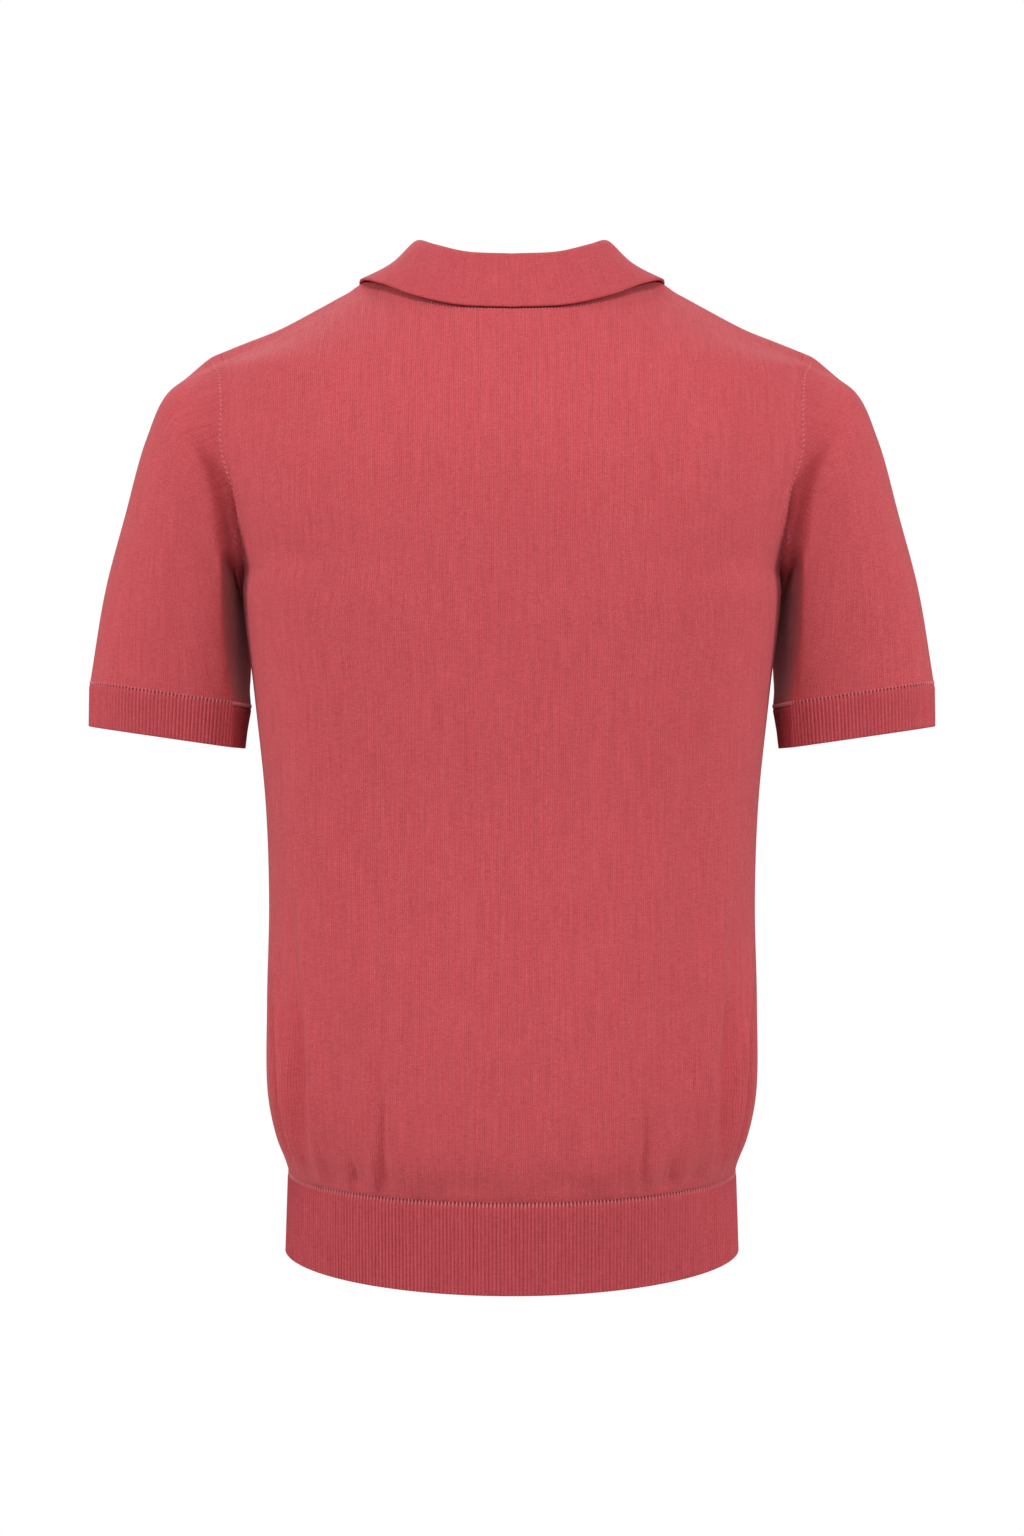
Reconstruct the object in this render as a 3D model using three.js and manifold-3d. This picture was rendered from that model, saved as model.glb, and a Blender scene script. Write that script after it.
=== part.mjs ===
// A fine-knit polo shirt with short sleeves, filled out as it is worn but with nobody in it.
//
// Units are millimetres and +Z is up. The wearer would face -Y, and X runs from their right to their left.
// The origin lies in the middle of the neck, at the height where the shirt rests on the shoulders.
// Each panel is a wall of cloth lofted through rows across the body, so its edges are the seams.

import * as THREE from "three";
import { mergeVertices } from "three/addons/utils/BufferGeometryUtils.js";
import Module from "manifold-3d";

// Cloth
const JERSEY = 1.5; // wall of the plain knit
const RIB_BASE = 1.7; // wall of the ribbed knit between its ribs
const RIB_RISE = 0.6; // how far a rib stands above it
const COLLAR_WALL = 1.9;
const SEAM_GAP = 0.3; // space between two pieces that are sewn together
const RIB_PITCH = 2.46; // from one rib to the next

// Trunk, from the waistband's seam up towards the armpit: the half width, and how far the back and the
// front stand from the line of the side seams. "square" is the superellipse power of the section, and
// "sag" is how much lower the row hangs in the middle than at the sides.
const TRUNK = [
  { z: -606, half: 153.5, back: 112.5, front: 107, square: 2.08, sag: 4 },
  { z: -597, half: 156, back: 116, front: 111, square: 2.14, sag: 3.5 },
  { z: -582, half: 161.5, back: 120, front: 115, square: 2.25, sag: 3 },
  { z: -552, half: 167.3, back: 121, front: 118, square: 2.4, sag: 2 },
  { z: -490, half: 167.7, back: 116.5, front: 117.5, square: 2.55, sag: 1 },
  { z: -420, half: 166.3, back: 111, front: 116.5, square: 2.6, sag: 1 },
  { z: -352, half: 168.8, back: 109, front: 119, square: 2.6, sag: 2 },
  { z: -283, half: 175.8, back: 113, front: 124, square: 2.65, sag: 4 },
];

// Rows from the armpit up to the shoulder. Each one runs from the middle of the panel to the armhole.
// "turn" is how far it has come round the body by then, in degrees.
const BACK_YOKE = [
  { edge: [183.5, 0, -209], middle: [117.5, -226], turn: 90, square: 2.8 },
  { edge: [181.5, 38, -189], middle: [118.5, -198], turn: 71, square: 2.8 },
  { edge: [183.5, 60, -155], middle: [119, -165], turn: 59, square: 2.7 },
  { edge: [188, 63, -120], middle: [116, -130], turn: 54, square: 2.5 },
  { edge: [189, 54, -86], middle: [106.5, -96], turn: 52, square: 2.5 },
  { edge: [193.8, 34, -61], middle: [92, -62], turn: 56, square: 2.5 },
];
const FRONT_YOKE = [
  { edge: [183.5, 0, -209], middle: [-125, -228], turn: 90, square: 2.7 },
  { edge: [176.5, -40, -188], middle: [-124, -203], turn: 72, square: 2.7 },
  { edge: [173, -60, -152], middle: [-120, -177], turn: 61, square: 2.6 },
  { edge: [178.5, -57, -112], middle: [-110, -151], turn: 56, square: 2.3 },
  { edge: [188, -43, -76], middle: [-98, -126], turn: 56, square: 2.3 },
  { edge: [197.5, -23, -53], middle: [-87, -105], turn: 60, square: 2.3 },
];

// Shoulder: the ridge is the highest line, and the sewn seam lies behind it.
const RIDGE = [
  { x: 72, z: 15 },
  { x: 90, z: 7 },
  { x: 110, z: -1.6 },
  { x: 135, z: -14.8 },
  { x: 161, z: -28 },
  { x: 182, z: -36 },
  { x: 201.5, z: -43.6 },
];
const RIDGE_Y = -3;
const SHOULDER_TIP = [197.7, 15, -52]; // where the seam meets the armhole
const SEAM_BOW = 3; // how far the seam bows to the back on its way

// Neck hole, in plan an ellipse that dips at the back and deeply at the front
const NECK = { half: 76, back: 65, front: -70, top: 13, dropBack: 32, dropFront: 91, dip: 1.55 };
const NECK_SEAM_ANGLE = 72; // degrees from the middle of the back to the shoulder seam

// The row beside the neck lies NECK_STEP from it, in these directions at the panel's middle and at its
// corner.
const NECK_STEP = 15;
const BESIDE_BACK_NECK = { middle: [0, 1.1, -1.04], corner: [0.8, 0.76, -0.84], cornerAngle: 58 };
const BESIDE_FRONT_NECK = { middle: [0, -0.45, -0.9], corner: [0.9, 0, -0.4], cornerAngle: 90 };
const BACK_SHOULDER_END = { x: 196, y: 24.5 }; // where that row of the back meets the armhole
const BACK_SHOULDER_FALL = 0.46; // how far its end falls for each millimetre behind the seam

// Sleeve rings, from just past the armhole down to the cuff. "top" is the outer end and "under" the
// underarm end, which is cut off flat where it would lie against the trunk: the flat starts at "face" and
// "slant" turns it.
const SLEEVE = [
  { top: [234.5, -71], under: [180, -222], back: 63, front: -60, face: 187, slant: 0.09 },
  { top: [250.5, -104], under: [180, -231], back: 62, front: -60, face: 187.5, slant: 0.09 },
  { top: [265, -155], under: [180, -246], back: 58.5, front: -58, face: 187.5, slant: 0.1 },
  { top: [279, -207], under: [180, -265], back: 53, front: -54, face: 187, slant: 0.1 },
  { top: [290, -271], under: [181, -287], back: 47, front: -49, face: 184.5, slant: 0.1 },
];
const CUFF_HEM = {
  top: [290.5, -301],
  under: [184, -316.5],
  back: 45.5,
  front: -47.5,
  face: 188.5,
  slant: 0.03,
};
const SLEEVE_SQUARE = { outer: 2.25, underBack: 2.8, underFront: 3.2 };
const UNDERARM_CLEARANCE = 2.2; // least space between the trunk and the sleeve that hangs beside it
const SLEEVE_LEAD = { low: 6, top: 8 }; // the sleeve leaves its seam in a straight line for this far
const UNDERARM_WAY = [0.8, 0, -0.6]; // the way it leaves at the armpit, outwards and down

// The sleeve's deepest fold runs round the back of it from the top of the arm to the armpit: x and z of
// its floor.
const SLEEVE_FOLD = [
  { x: 217, z: -106, depth: 0 },
  { x: 206, z: -115, depth: 3.5 },
  { x: 197, z: -127, depth: 6 },
  { x: 190.5, z: -145, depth: 6.5 },
  { x: 186.5, z: -165, depth: 5 },
  { x: 184, z: -186, depth: 0 },
];
const SLEEVE_FOLD_SHAPE = { width: 8, lip: 0.45, lipAway: 12 };

// Waistband
const BAND = { half: 155.3, back: 110.5, front: 107.5, square: 2.04 };
const BAND_HEM = { z: -660.5, dipBack: 8.5, dipFront: 4 }; // it hangs lower in the middle than at the sides

// Folds that start from the waistband's seam: "across" is the place of the foot as a share of the way
// from the middle to the side, "lean" how far it has moved by its head, and "rise" is outwards.
const BACK_FOLDS = [
  { across: -0.345, lean: -0.01, head: -520, rise: -4.6, width: 9 },
  { across: 0.355, lean: 0.01, head: -508, rise: -4.3, width: 9 },
  { across: -0.295, lean: 0, head: -545, rise: 2.4, width: 9 },
  { across: 0.305, lean: 0, head: -538, rise: 2.2, width: 9 },
  { across: -0.715, lean: -0.09, head: -380, rise: 3.2, width: 11 },
  { across: 0.705, lean: 0.09, head: -400, rise: 3.0, width: 11 },
  { across: -0.86, lean: -0.02, head: -440, rise: -7, width: 13 },
  { across: 0.86, lean: 0.02, head: -455, rise: -6.5, width: 13 },
  { across: -0.6, lean: 0, head: -530, rise: -2.8, width: 8 },
  { across: 0.58, lean: 0, head: -538, rise: -2.6, width: 8 },
  { across: -0.475, lean: 0, head: -566, rise: -1.8, width: 7 },
  { across: 0.47, lean: 0, head: -560, rise: -1.7, width: 7 },
  { across: -0.19, lean: 0.01, head: -570, rise: -1.5, width: 7 },
  { across: 0.2, lean: -0.01, head: -572, rise: -1.6, width: 7 },
  { across: -0.085, lean: 0, head: -576, rise: -1.1, width: 7 },
  { across: 0.075, lean: 0, head: -575, rise: -1.2, width: 7 },
];
const FRONT_FOLDS = [
  { across: -0.3, lean: 0, head: -530, rise: -3.6, width: 9 },
  { across: 0.38, lean: 0, head: -520, rise: -3.8, width: 9 },
  { across: -0.62, lean: -0.04, head: -470, rise: -3.4, width: 11 },
  { across: 0.66, lean: 0.04, head: -460, rise: -3.4, width: 11 },
  { across: -0.84, lean: -0.02, head: -480, rise: -4.5, width: 12 },
  { across: 0.86, lean: 0.02, head: -470, rise: -4.8, width: 12 },
  { across: -0.46, lean: 0, head: -560, rise: -1.8, width: 7 },
  { across: 0.53, lean: 0, head: -564, rise: -1.8, width: 7 },
  { across: -0.14, lean: 0, head: -572, rise: -1.3, width: 7 },
  { across: 0.16, lean: 0, head: -570, rise: -1.4, width: 7 },
];
const FOLD_FADE = 12; // a fold reaches its full depth this far above the seam

// Collar, from the middle of the back round to the middle of the front: the fold at its top and the
// leaf's edge.
const COLLAR = [
  { angle: 0, fold: [0, 58, 12], edge: [0, 77.5, -26.5], bow: 2 },
  { angle: 28, fold: [29, 52.5, 14.5], edge: [36, 73.5, -24], bow: 2 },
  { angle: 52, fold: [51, 36, 23], edge: [66, 60, -14.8], bow: 3 },
  { angle: 72, fold: [61.5, 18, 30], edge: [89, 36, -2], bow: 1 },
  { angle: 92, fold: [63.5, -2, 32.5], edge: [105, 2, 5.9], bow: -3.5 },
  { angle: 115, fold: [61, -28, 24], edge: [100, -37, -9], bow: 4 },
  { angle: 140, fold: [47, -54, -8], edge: [89, -73, -47], bow: 8 },
  { angle: 162, fold: [26, -70, -44], edge: [70, -94, -88], bow: 7 },
  { angle: 178, fold: [4.5, -77, -65], edge: [45, -107, -124], bow: 4 },
];
const COLLAR_ROLL = 3; // radius of the fold between the stand and the leaf
const COLLAR_LIFT = 0.4; // the stand starts this far above the neck's edge
const STAND_HOLLOW = 0.8; // how far the stand curves in towards the neck, halfway up

// Placket and buttons
const PLACKET = { half: 16, top: -80, bottom: -236, wall: 1.8 };
const UNDER_PLACKET = { half: 13, top: -80, bottom: -230, wall: 1.6 };
const PLACKET_LIFT = 0.6; // space between the front and a placket
const SLIT = { half: 10, bottom: -222 };
const BUTTON = { radius: 5.75, back: 5.05, rimOuter: 5.1, rimInner: 4.1, thick: 2.6, dish: 0.6 };
const BUTTON_HOLE = { radius: 0.8, spread: 1.9 };
const BUTTON_HEIGHTS = [-102, -150, -198];

// Facets
const COLUMNS = 24; // across a panel, and twice or three times as many where its folds are
const STEP = 34; // longest one up a panel
const RIBBED_COLUMNS = 24; // round the plain inside of a ribbed piece
const SLEEVE_STOPS = [0, 0.035, 0.08, 0.14, 0.21, 0.29, 0.39, 0.51, 0.66, 0.83, 1]; // along a sleeve
const COLLAR_STOPS = [0, 0.18, 0.33, 0.42, 0.5, 0.6, 0.72, 0.86, 1]; // over the collar from seam to edge
const PLACKET_STEPS = 11;
const BUTTON_SIDES = 14;

const jersey = new THREE.MeshStandardMaterial({ color: 0xb94c53, roughness: 0.92, metalness: 0 });
const rib = new THREE.MeshStandardMaterial({ color: 0xb0454d, roughness: 0.95, metalness: 0 });
const buttonShell = new THREE.MeshStandardMaterial({ color: 0x8c3a40, roughness: 0.35, metalness: 0 });

const point = (x, y, z) => new THREE.Vector3(x, y, z);
const mix = (a, b, f) => a + (b - a) * f;
const clamp = (v, low, high) => Math.min(high, Math.max(low, v));
const ease = (f) => {
  const c = clamp(f, 0, 1);
  return c * c * (3 - 2 * c);
};
const radians = (degrees) => (degrees * Math.PI) / 180;
const smooth = (points) => new THREE.CatmullRomCurve3(points, false, "centripetal");

// Runs along a curve by its share of the length.
function byLength(curve, samples = 240) {
  const points = Array.from({ length: samples + 1 }, (_, i) => curve(i / samples));
  const reach = [0];
  for (let i = 1; i <= samples; i++) reach.push(reach[i - 1] + points[i].distanceTo(points[i - 1]));
  const total = reach[samples];
  const at = (f) => {
    const goal = clamp(f, 0, 1) * total;
    const i = Math.max(1, reach.findIndex((r) => r >= goal));
    const span = reach[i] - reach[i - 1] || 1;
    return points[i - 1].clone().lerp(points[i], (goal - reach[i - 1]) / span);
  };
  return { at, total };
}

// A superellipse in polar form: the share of the full width and of the full depth at an angle from the
// middle.
function superellipse(angle, power) {
  const across = Math.sin(angle);
  const out = Math.cos(angle);
  const reach = (Math.abs(across) ** power + Math.abs(out) ** power) ** (-1 / power);
  return [across * reach, out * reach];
}

// Half of a level row round the trunk, from the middle of a panel to the side seam.
function trunkRow({ z, half, square, sag }, depth) {
  return byLength((f) => {
    const [x, y] = superellipse((f * Math.PI) / 2, square);
    return point(half * x, depth * y, z - sag * (1 - x * x));
  });
}

// Half of a row across the shoulder blades or the chest, from the middle to the armhole.
function yokeRow({ edge, middle, turn, square }) {
  const [endX, endY] = superellipse(radians(turn), square);
  return byLength((f) => {
    const [x, y] = superellipse(radians(turn) * f, square);
    const out = (y - endY) / (1 - endY);
    const sag = (x / endX) ** 2;
    return point((edge[0] * x) / endX, mix(edge[1], middle[0], out), mix(middle[1], edge[2], sag));
  });
}

// The height of the shoulder's ridge at a distance from the neck's middle.
const ridge = smooth(RIDGE.map(({ x, z }) => point(x, 0, z)));
function ridgeHeight(x) {
  let low = 0;
  let high = 1;
  while (high - low > 1e-9) {
    const middle = (low + high) / 2;
    if (ridge.getPoint(middle).x < x) low = middle;
    else high = middle;
  }
  return ridge.getPoint(low).z;
}

// A place on the neck's edge, by its angle from the middle of the back.
function neckPoint(degrees) {
  const a = radians(degrees);
  const c = Math.cos(a);
  const drop = c > 0 ? NECK.dropBack : NECK.dropFront;
  return point(
    NECK.half * Math.sin(a),
    mix(NECK.front, NECK.back, (1 + c) / 2),
    NECK.top - drop * Math.abs(c) ** NECK.dip,
  );
}

// The shoulder seam, from the neck to the armhole.
function shoulderSeam(f) {
  const start = neckPoint(NECK_SEAM_ANGLE);
  const [tipX, tipY, tipZ] = SHOULDER_TIP;
  const x = mix(start.x, tipX, f);
  const drop = mix(ridgeHeight(start.x) - start.z, ridgeHeight(tipX) - tipZ, f);
  return point(x, mix(start.y, tipY, f) + SEAM_BOW * Math.sin(Math.PI * f), ridgeHeight(x) - drop);
}

// A row that follows the neck for the first part of the way and another line after it.
function bentRow(first, second, share) {
  const before = byLength(first);
  const after = byLength(second);
  return {
    at: (f) => (f < share ? before.at(f / share) : after.at((f - share) / (1 - share))),
    total: before.total + after.total,
  };
}
// The corner between the neck and the shoulder seam falls on one of the panel's columns.
const BACK_NECK_SHARE = 5 / (COLUMNS / 2);
const FRONT_NECK_SHARE = 6 / (COLUMNS / 2);

const backTop = bentRow((f) => neckPoint(f * NECK_SEAM_ANGLE), shoulderSeam, BACK_NECK_SHARE);
const frontTop = bentRow(
  (f) => neckPoint(mix(180, NECK_SEAM_ANGLE, f)),
  shoulderSeam,
  FRONT_NECK_SHARE,
);

// A place beside the neck, on its way from the panel's middle to the corner.
function besideNeck({ middle, corner }, angle, share) {
  const away = point(...middle).lerp(point(...corner), share);
  return neckPoint(angle).addScaledVector(away, NECK_STEP);
}

// The row under the back's top edge, beside the neck and then below the shoulder seam.
const belowBackNeck = (f) => besideNeck(BESIDE_BACK_NECK, f * BESIDE_BACK_NECK.cornerAngle, f);
function belowBackSeam(f) {
  const start = belowBackNeck(1);
  const x = mix(start.x, BACK_SHOULDER_END.x, f);
  const seamStart = neckPoint(NECK_SEAM_ANGLE).x;
  const seam = shoulderSeam((x - seamStart) / (SHOULDER_TIP[0] - seamStart));
  const behind = mix(start.y, BACK_SHOULDER_END.y, f) - seam.y;
  const atNeck = shoulderSeam((start.x - seamStart) / (SHOULDER_TIP[0] - seamStart));
  const startFall = (atNeck.z - start.z) / (start.y - atNeck.y);
  return point(x, seam.y + behind, seam.z - behind * mix(startFall, BACK_SHOULDER_FALL, f));
}
const backShoulder = bentRow(belowBackNeck, belowBackSeam, BACK_NECK_SHARE);

// The front's row below its top edge, beside the neck and then along the ridge of the shoulder.
function besideFrontNeck(f) {
  const angle = mix(180, BESIDE_FRONT_NECK.cornerAngle, f);
  return besideNeck(BESIDE_FRONT_NECK, angle, Math.sin(radians(angle)));
}
function alongRidge(f) {
  const start = besideFrontNeck(1);
  const x = mix(start.x, RIDGE.at(-1).x, f);
  return point(x, mix(start.y, RIDGE_Y, f), mix(start.z, ridgeHeight(x), ease(f * 4)));
}
const frontShoulder = bentRow(besideFrontNeck, alongRidge, FRONT_NECK_SHARE);

const backRows = [
  ...TRUNK.map((level) => trunkRow(level, level.back)),
  ...BACK_YOKE.map(yokeRow),
  backShoulder,
  backTop,
];
const frontRows = [
  ...TRUNK.map((level) => trunkRow(level, -level.front)),
  ...FRONT_YOKE.map(yokeRow),
  frontShoulder,
  frontTop,
];
const ARMPIT_ROW = TRUNK.length;
const TOP_ROW = backRows.length - 1;

// The height of the folds' surface over the plain panel. "climb" runs from a fold's foot on the seam to
// its head.
function foldRise(folds, share, z, halfLength) {
  const foot = TRUNK[0].z - TRUNK[0].sag * (1 - share * share);
  let rise = 0;
  for (const fold of folds) {
    const climb = (z - foot) / (fold.head - foot);
    if (climb > 1) continue;
    const off = ((share - fold.across - fold.lean * climb) * halfLength) / fold.width;
    rise += fold.rise * Math.exp(-off * off) * ease((z - foot) / FOLD_FADE) * (1 - ease(climb));
  }
  return rise;
}

// A panel: gives its outer surface at a share of the way across (-1 to 1) and a row number. "facing" is 1
// on the back and -1 on the front.
function panel(rows, folds, facing, neckShare) {
  const columns = new Map();
  const plain = (share, row) => {
    const side = Math.abs(share);
    const key = side.toFixed(6);
    if (!columns.has(key)) columns.set(key, smooth(rows.map((r) => r.at(side))));
    const p = columns.get(key).getPoint(clamp(row / TOP_ROW, 0, 1));
    if (share < 0) p.x = -p.x;
    if (row < TOP_ROW - 2) p.y = facing * Math.max(facing * p.y, SEAM_GAP / 2);
    return p;
  };
  const normalOf = (surface, share, row) => {
    const across = surface(Math.min(share + 0.003, 1), row).sub(surface(Math.max(share - 0.003, -1), row));
    const up = surface(share, Math.min(row + 0.02, TOP_ROW)).sub(surface(share, Math.max(row - 0.02, 0)));
    return up.cross(across).multiplyScalar(facing).normalize();
  };
  const surface = (share, row) => {
    const p = plain(share, row);
    const length = rows[clamp(Math.round(row), 0, TOP_ROW)].total;
    const rise = foldRise(folds, share, p.z, length);
    return rise ? p.addScaledVector(normalOf(plain, share, row), rise) : p;
  };
  return { surface, normal: (share, row) => normalOf(surface, share, row), rows, neckShare };
}
const back = panel(backRows, BACK_FOLDS, 1, BACK_NECK_SHARE);
const front = panel(frontRows, FRONT_FOLDS, -1, FRONT_NECK_SHARE);

// The way a panel's wall is thick: at a seam it is shared with the other panel, so that the two walls
// meet squarely.
function wallDirection(cloth, share, row) {
  const own = cloth.normal(share, row);
  const side = Math.abs(share);
  const other = cloth === back ? front : back;
  if (row === TOP_ROW && side > cloth.neckShare - 1e-6) {
    const along = (side - cloth.neckShare) / (1 - cloth.neckShare);
    const there = Math.sign(share) * mix(other.neckShare, 1, along);
    return own.add(other.normal(there, row)).normalize();
  }
  if (side > 1 - 1e-6 && row <= ARMPIT_ROW) return own.setY(0).normalize();
  return own;
}

// Collects points and triangles into one closed body.
class Body {
  constructor() {
    this.points = [];
    this.faces = [];
  }
  line(points) {
    return points.map((p) => this.points.push(p) - 1);
  }
  // Fills the strip between two lines of points, which may hold different numbers of them.
  strip(a, b, flip = false) {
    const reach = (from, to) => this.points[from].distanceTo(this.points[to]);
    let i = 0;
    let j = 0;
    while (i < a.length - 1 || j < b.length - 1) {
      const nextA = (i + 1) / (a.length - 1);
      const nextB = (j + 1) / (b.length - 1);
      const level = i === j && Math.abs(nextA - nextB) < 1e-9;
      const alongA = level ? reach(a[i + 1], b[j]) <= reach(a[i], b[j + 1]) : nextA <= nextB;
      const face = alongA ? [a[i], a[++i], b[j]] : [a[i], b[j + 1], b[j++]];
      this.faces.push(flip ? [face[0], face[2], face[1]] : face);
    }
  }
  geometry() {
    const made = new THREE.BufferGeometry();
    const numbers = this.points.flatMap((p) => p.toArray());
    made.setAttribute("position", new THREE.Float32BufferAttribute(numbers, 3));
    const volume = this.faces.reduce((sum, [a, b, c]) => {
      const [p, q, r] = [this.points[a], this.points[b], this.points[c]];
      return sum + p.dot(q.clone().cross(r));
    }, 0);
    const out = volume > 0 ? this.faces : this.faces.map(([a, b, c]) => [a, c, b]);
    made.setIndex(out.flat());
    made.computeVertexNormals();
    return made;
  }
}

// A wall of cloth between an outer and an inner sheet, each a list of rows. A closed sheet joins its ends.
function wall(outerRows, innerRows, closed = false) {
  const body = new Body();
  const index = (rows) =>
    rows.map((row) => {
      const line = body.line(row);
      return closed ? [...line, line[0]] : line;
    });
  const outer = index(outerRows);
  const inner = index(innerRows);
  for (let r = 1; r < outer.length; r++) body.strip(outer[r - 1], outer[r]);
  for (let r = 1; r < inner.length; r++) body.strip(inner[r - 1], inner[r], true);
  body.strip(inner[0], outer[0]);
  body.strip(outer.at(-1), inner.at(-1));
  if (!closed) {
    for (let r = 1; r < outer.length; r++) {
      const [a, b] = [outer[r - 1], outer[r]];
      const [c, d] = [inner[r - 1], inner[r]];
      body.faces.push([a[0], b[0], d[0]], [a[0], d[0], c[0]]);
      body.faces.push([a.at(-1), d.at(-1), b.at(-1)], [a.at(-1), c.at(-1), d.at(-1)]);
    }
  }
  return body.geometry();
}

// Row numbers to cut a panel at, so that no facet is longer than STEP.
function rowStops(rows, first, last) {
  const stops = [first];
  for (let r = first; r < last; r++) {
    const spans = [0, 0.5, 0.8, 1].map((f) => rows[r].at(f).distanceTo(rows[r + 1].at(f)));
    const pieces = Math.ceil(Math.max(...spans) / STEP);
    for (let i = 1; i <= pieces; i++) stops.push(r + i / pieces);
  }
  return stops;
}

// The columns that cut a row, closer together where the folds lie and closest on the back.
const FOLDED_ROW = TRUNK.findIndex(({ z }) => z > -580);
function sharesAt(cloth, row) {
  const folded = cloth === back ? 3 : 2;
  const times = row <= FOLDED_ROW ? folded : row <= FOLDED_ROW + 1 ? folded - 1 : 1;
  const count = COLUMNS * times;
  return Array.from({ length: count + 1 }, (_, i) => (i / count) * 2 - 1);
}
const panelStops = (cloth) => rowStops(cloth.rows, 0, TOP_ROW);
function panelWall(cloth) {
  const outer = [];
  const inner = [];
  for (const row of panelStops(cloth)) {
    const outerRow = [];
    const innerRow = [];
    for (const share of sharesAt(cloth, row)) {
      const p = cloth.surface(share, row);
      // The top edge and the armhole's edge stop short of their seams.
      if (row === TOP_ROW) p.add(cloth.surface(share, row - 0.05).sub(p).setLength(SEAM_GAP * 0.6));
      else if (row > ARMPIT_ROW && Math.abs(share) === 1) {
        p.add(cloth.surface(share * 0.99, row).sub(p).setLength(SEAM_GAP / 2));
      }
      outerRow.push(p);
      innerRow.push(p.clone().addScaledVector(wallDirection(cloth, share, row), -JERSEY));
    }
    outer.push(outerRow);
    inner.push(innerRow);
  }
  return wall(outer, inner);
}

// How far out the trunk's side stands at a height and a depth.
const ARMPIT = BACK_YOKE[0];
const ARMPIT_LEVEL = {
  ...TRUNK.at(-1),
  z: ARMPIT.edge[2],
  half: ARMPIT.edge[0],
  back: ARMPIT.middle[0],
  front: -FRONT_YOKE[0].middle[0],
};
const LEVELS = [...TRUNK, ARMPIT_LEVEL];
function trunkSide(y, z) {
  const above = LEVELS.findIndex((level) => level.z > z);
  const i = above < 0 ? LEVELS.length - 1 : Math.max(above, 1);
  const f = Math.max((z - LEVELS[i - 1].z) / (LEVELS[i].z - LEVELS[i - 1].z), 0);
  const value = (name) => mix(LEVELS[i - 1][name], LEVELS[i][name], f);
  const depth = y > 0 ? value("back") : value("front");
  const share = clamp(1 - Math.abs(y / depth) ** value("square"), 0, 1);
  return value("half") * share ** (1 / value("square"));
}

// Sleeve: its columns start at the corners of the panels' armhole edges, from the armpit up the back and
// over the shoulder's tip down the front.
const stopsAbove = (cloth) =>
  panelStops(cloth)
    .filter((row) => row >= ARMPIT_ROW)
    .map((row) => ({ cloth, row }));
const armholeStops = [...stopsAbove(back), ...stopsAbove(front).reverse().slice(1)];
function armhole(side) {
  const [wayX, wayY, wayZ] = UNDERARM_WAY;
  return armholeStops.map(({ cloth, row }) => {
    const p = cloth.surface(side, row);
    const normal = cloth.normal(side, row);
    const out = p.clone().sub(cloth.surface(side * 0.98, row)).normalize();
    const low = 1 - ease((row - ARMPIT_ROW) / 2.5);
    const reach = mix(SLEEVE_LEAD.low, SLEEVE_LEAD.top, ease((row - TOP_ROW) / 2.5 + 1));
    out.lerp(point(side * wayX, wayY, wayZ), mix(0.2, 0.9, low)).normalize();
    return { p, normal, out, reach };
  });
}

// A ring round the sleeve, by the share of the way round from the underarm up the back.
function sleeveRing({ top, under, back: backReach, front: frontReach, face, slant }, side) {
  return byLength((f) => {
    const angle = f * 2 * Math.PI;
    const toTop = -Math.cos(angle);
    const toBack = Math.sin(angle);
    const { outer, underBack, underFront } = SLEEVE_SQUARE;
    const power = toTop > 0 ? outer : toBack > 0 ? underBack : underFront;
    const reach = (Math.abs(toTop) ** power + Math.abs(toBack) ** power) ** (-1 / power);
    const y = toBack * reach * (toBack > 0 ? backReach : -frontReach);
    const x = Math.max(mix(under[0], top[0], (1 + toTop * reach) / 2), face + slant * y);
    return point(side * x, y, mix(under[1], top[1], (x - under[0]) / (top[0] - under[0])));
  }).at;
}

// The way a ring of the sleeve faces, along the arm.
function ringFacing({ top, under }, side) {
  return point(side * (top[1] - under[1]), 0, under[0] - top[0]).normalize();
}

// The share of the way round the ring at which each column of the sleeve lies.
const around = (() => {
  const points = armhole(1).map(({ p }) => p);
  const reach = [0];
  points.forEach((p, i) => reach.push(reach[i] + p.distanceTo(points[(i + 1) % points.length])));
  return reach.slice(0, -1).map((r) => r / reach.at(-1));
})();

// How far the sleeve's fold lifts its surface: a valley with a lip along one side.
function sleeveFoldRise(x, y, z) {
  if (y < 0) return 0;
  const { width, lip, lipAway } = SLEEVE_FOLD_SHAPE;
  let best = { off: Infinity, rise: 0 };
  for (let i = 1; i < SLEEVE_FOLD.length; i++) {
    const [a, b] = [SLEEVE_FOLD[i - 1], SLEEVE_FOLD[i]];
    const [dx, dz] = [b.x - a.x, b.z - a.z];
    const f = clamp(((x - a.x) * dx + (z - a.z) * dz) / (dx * dx + dz * dz), 0, 1);
    const [ox, oz] = [x - mix(a.x, b.x, f), z - mix(a.z, b.z, f)];
    const off = Math.hypot(ox, oz) * Math.sign(ox * -dz + oz * dx || 1);
    const depth = mix(a.depth, b.depth, f);
    const valley = Math.exp(-((off / width) ** 2));
    const ridge = lip * Math.exp(-(((off - lipAway) / width) ** 2));
    if (Math.abs(off) < Math.abs(best.off)) best = { off, rise: depth * (ridge - valley) };
  }
  return best.rise;
}

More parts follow.
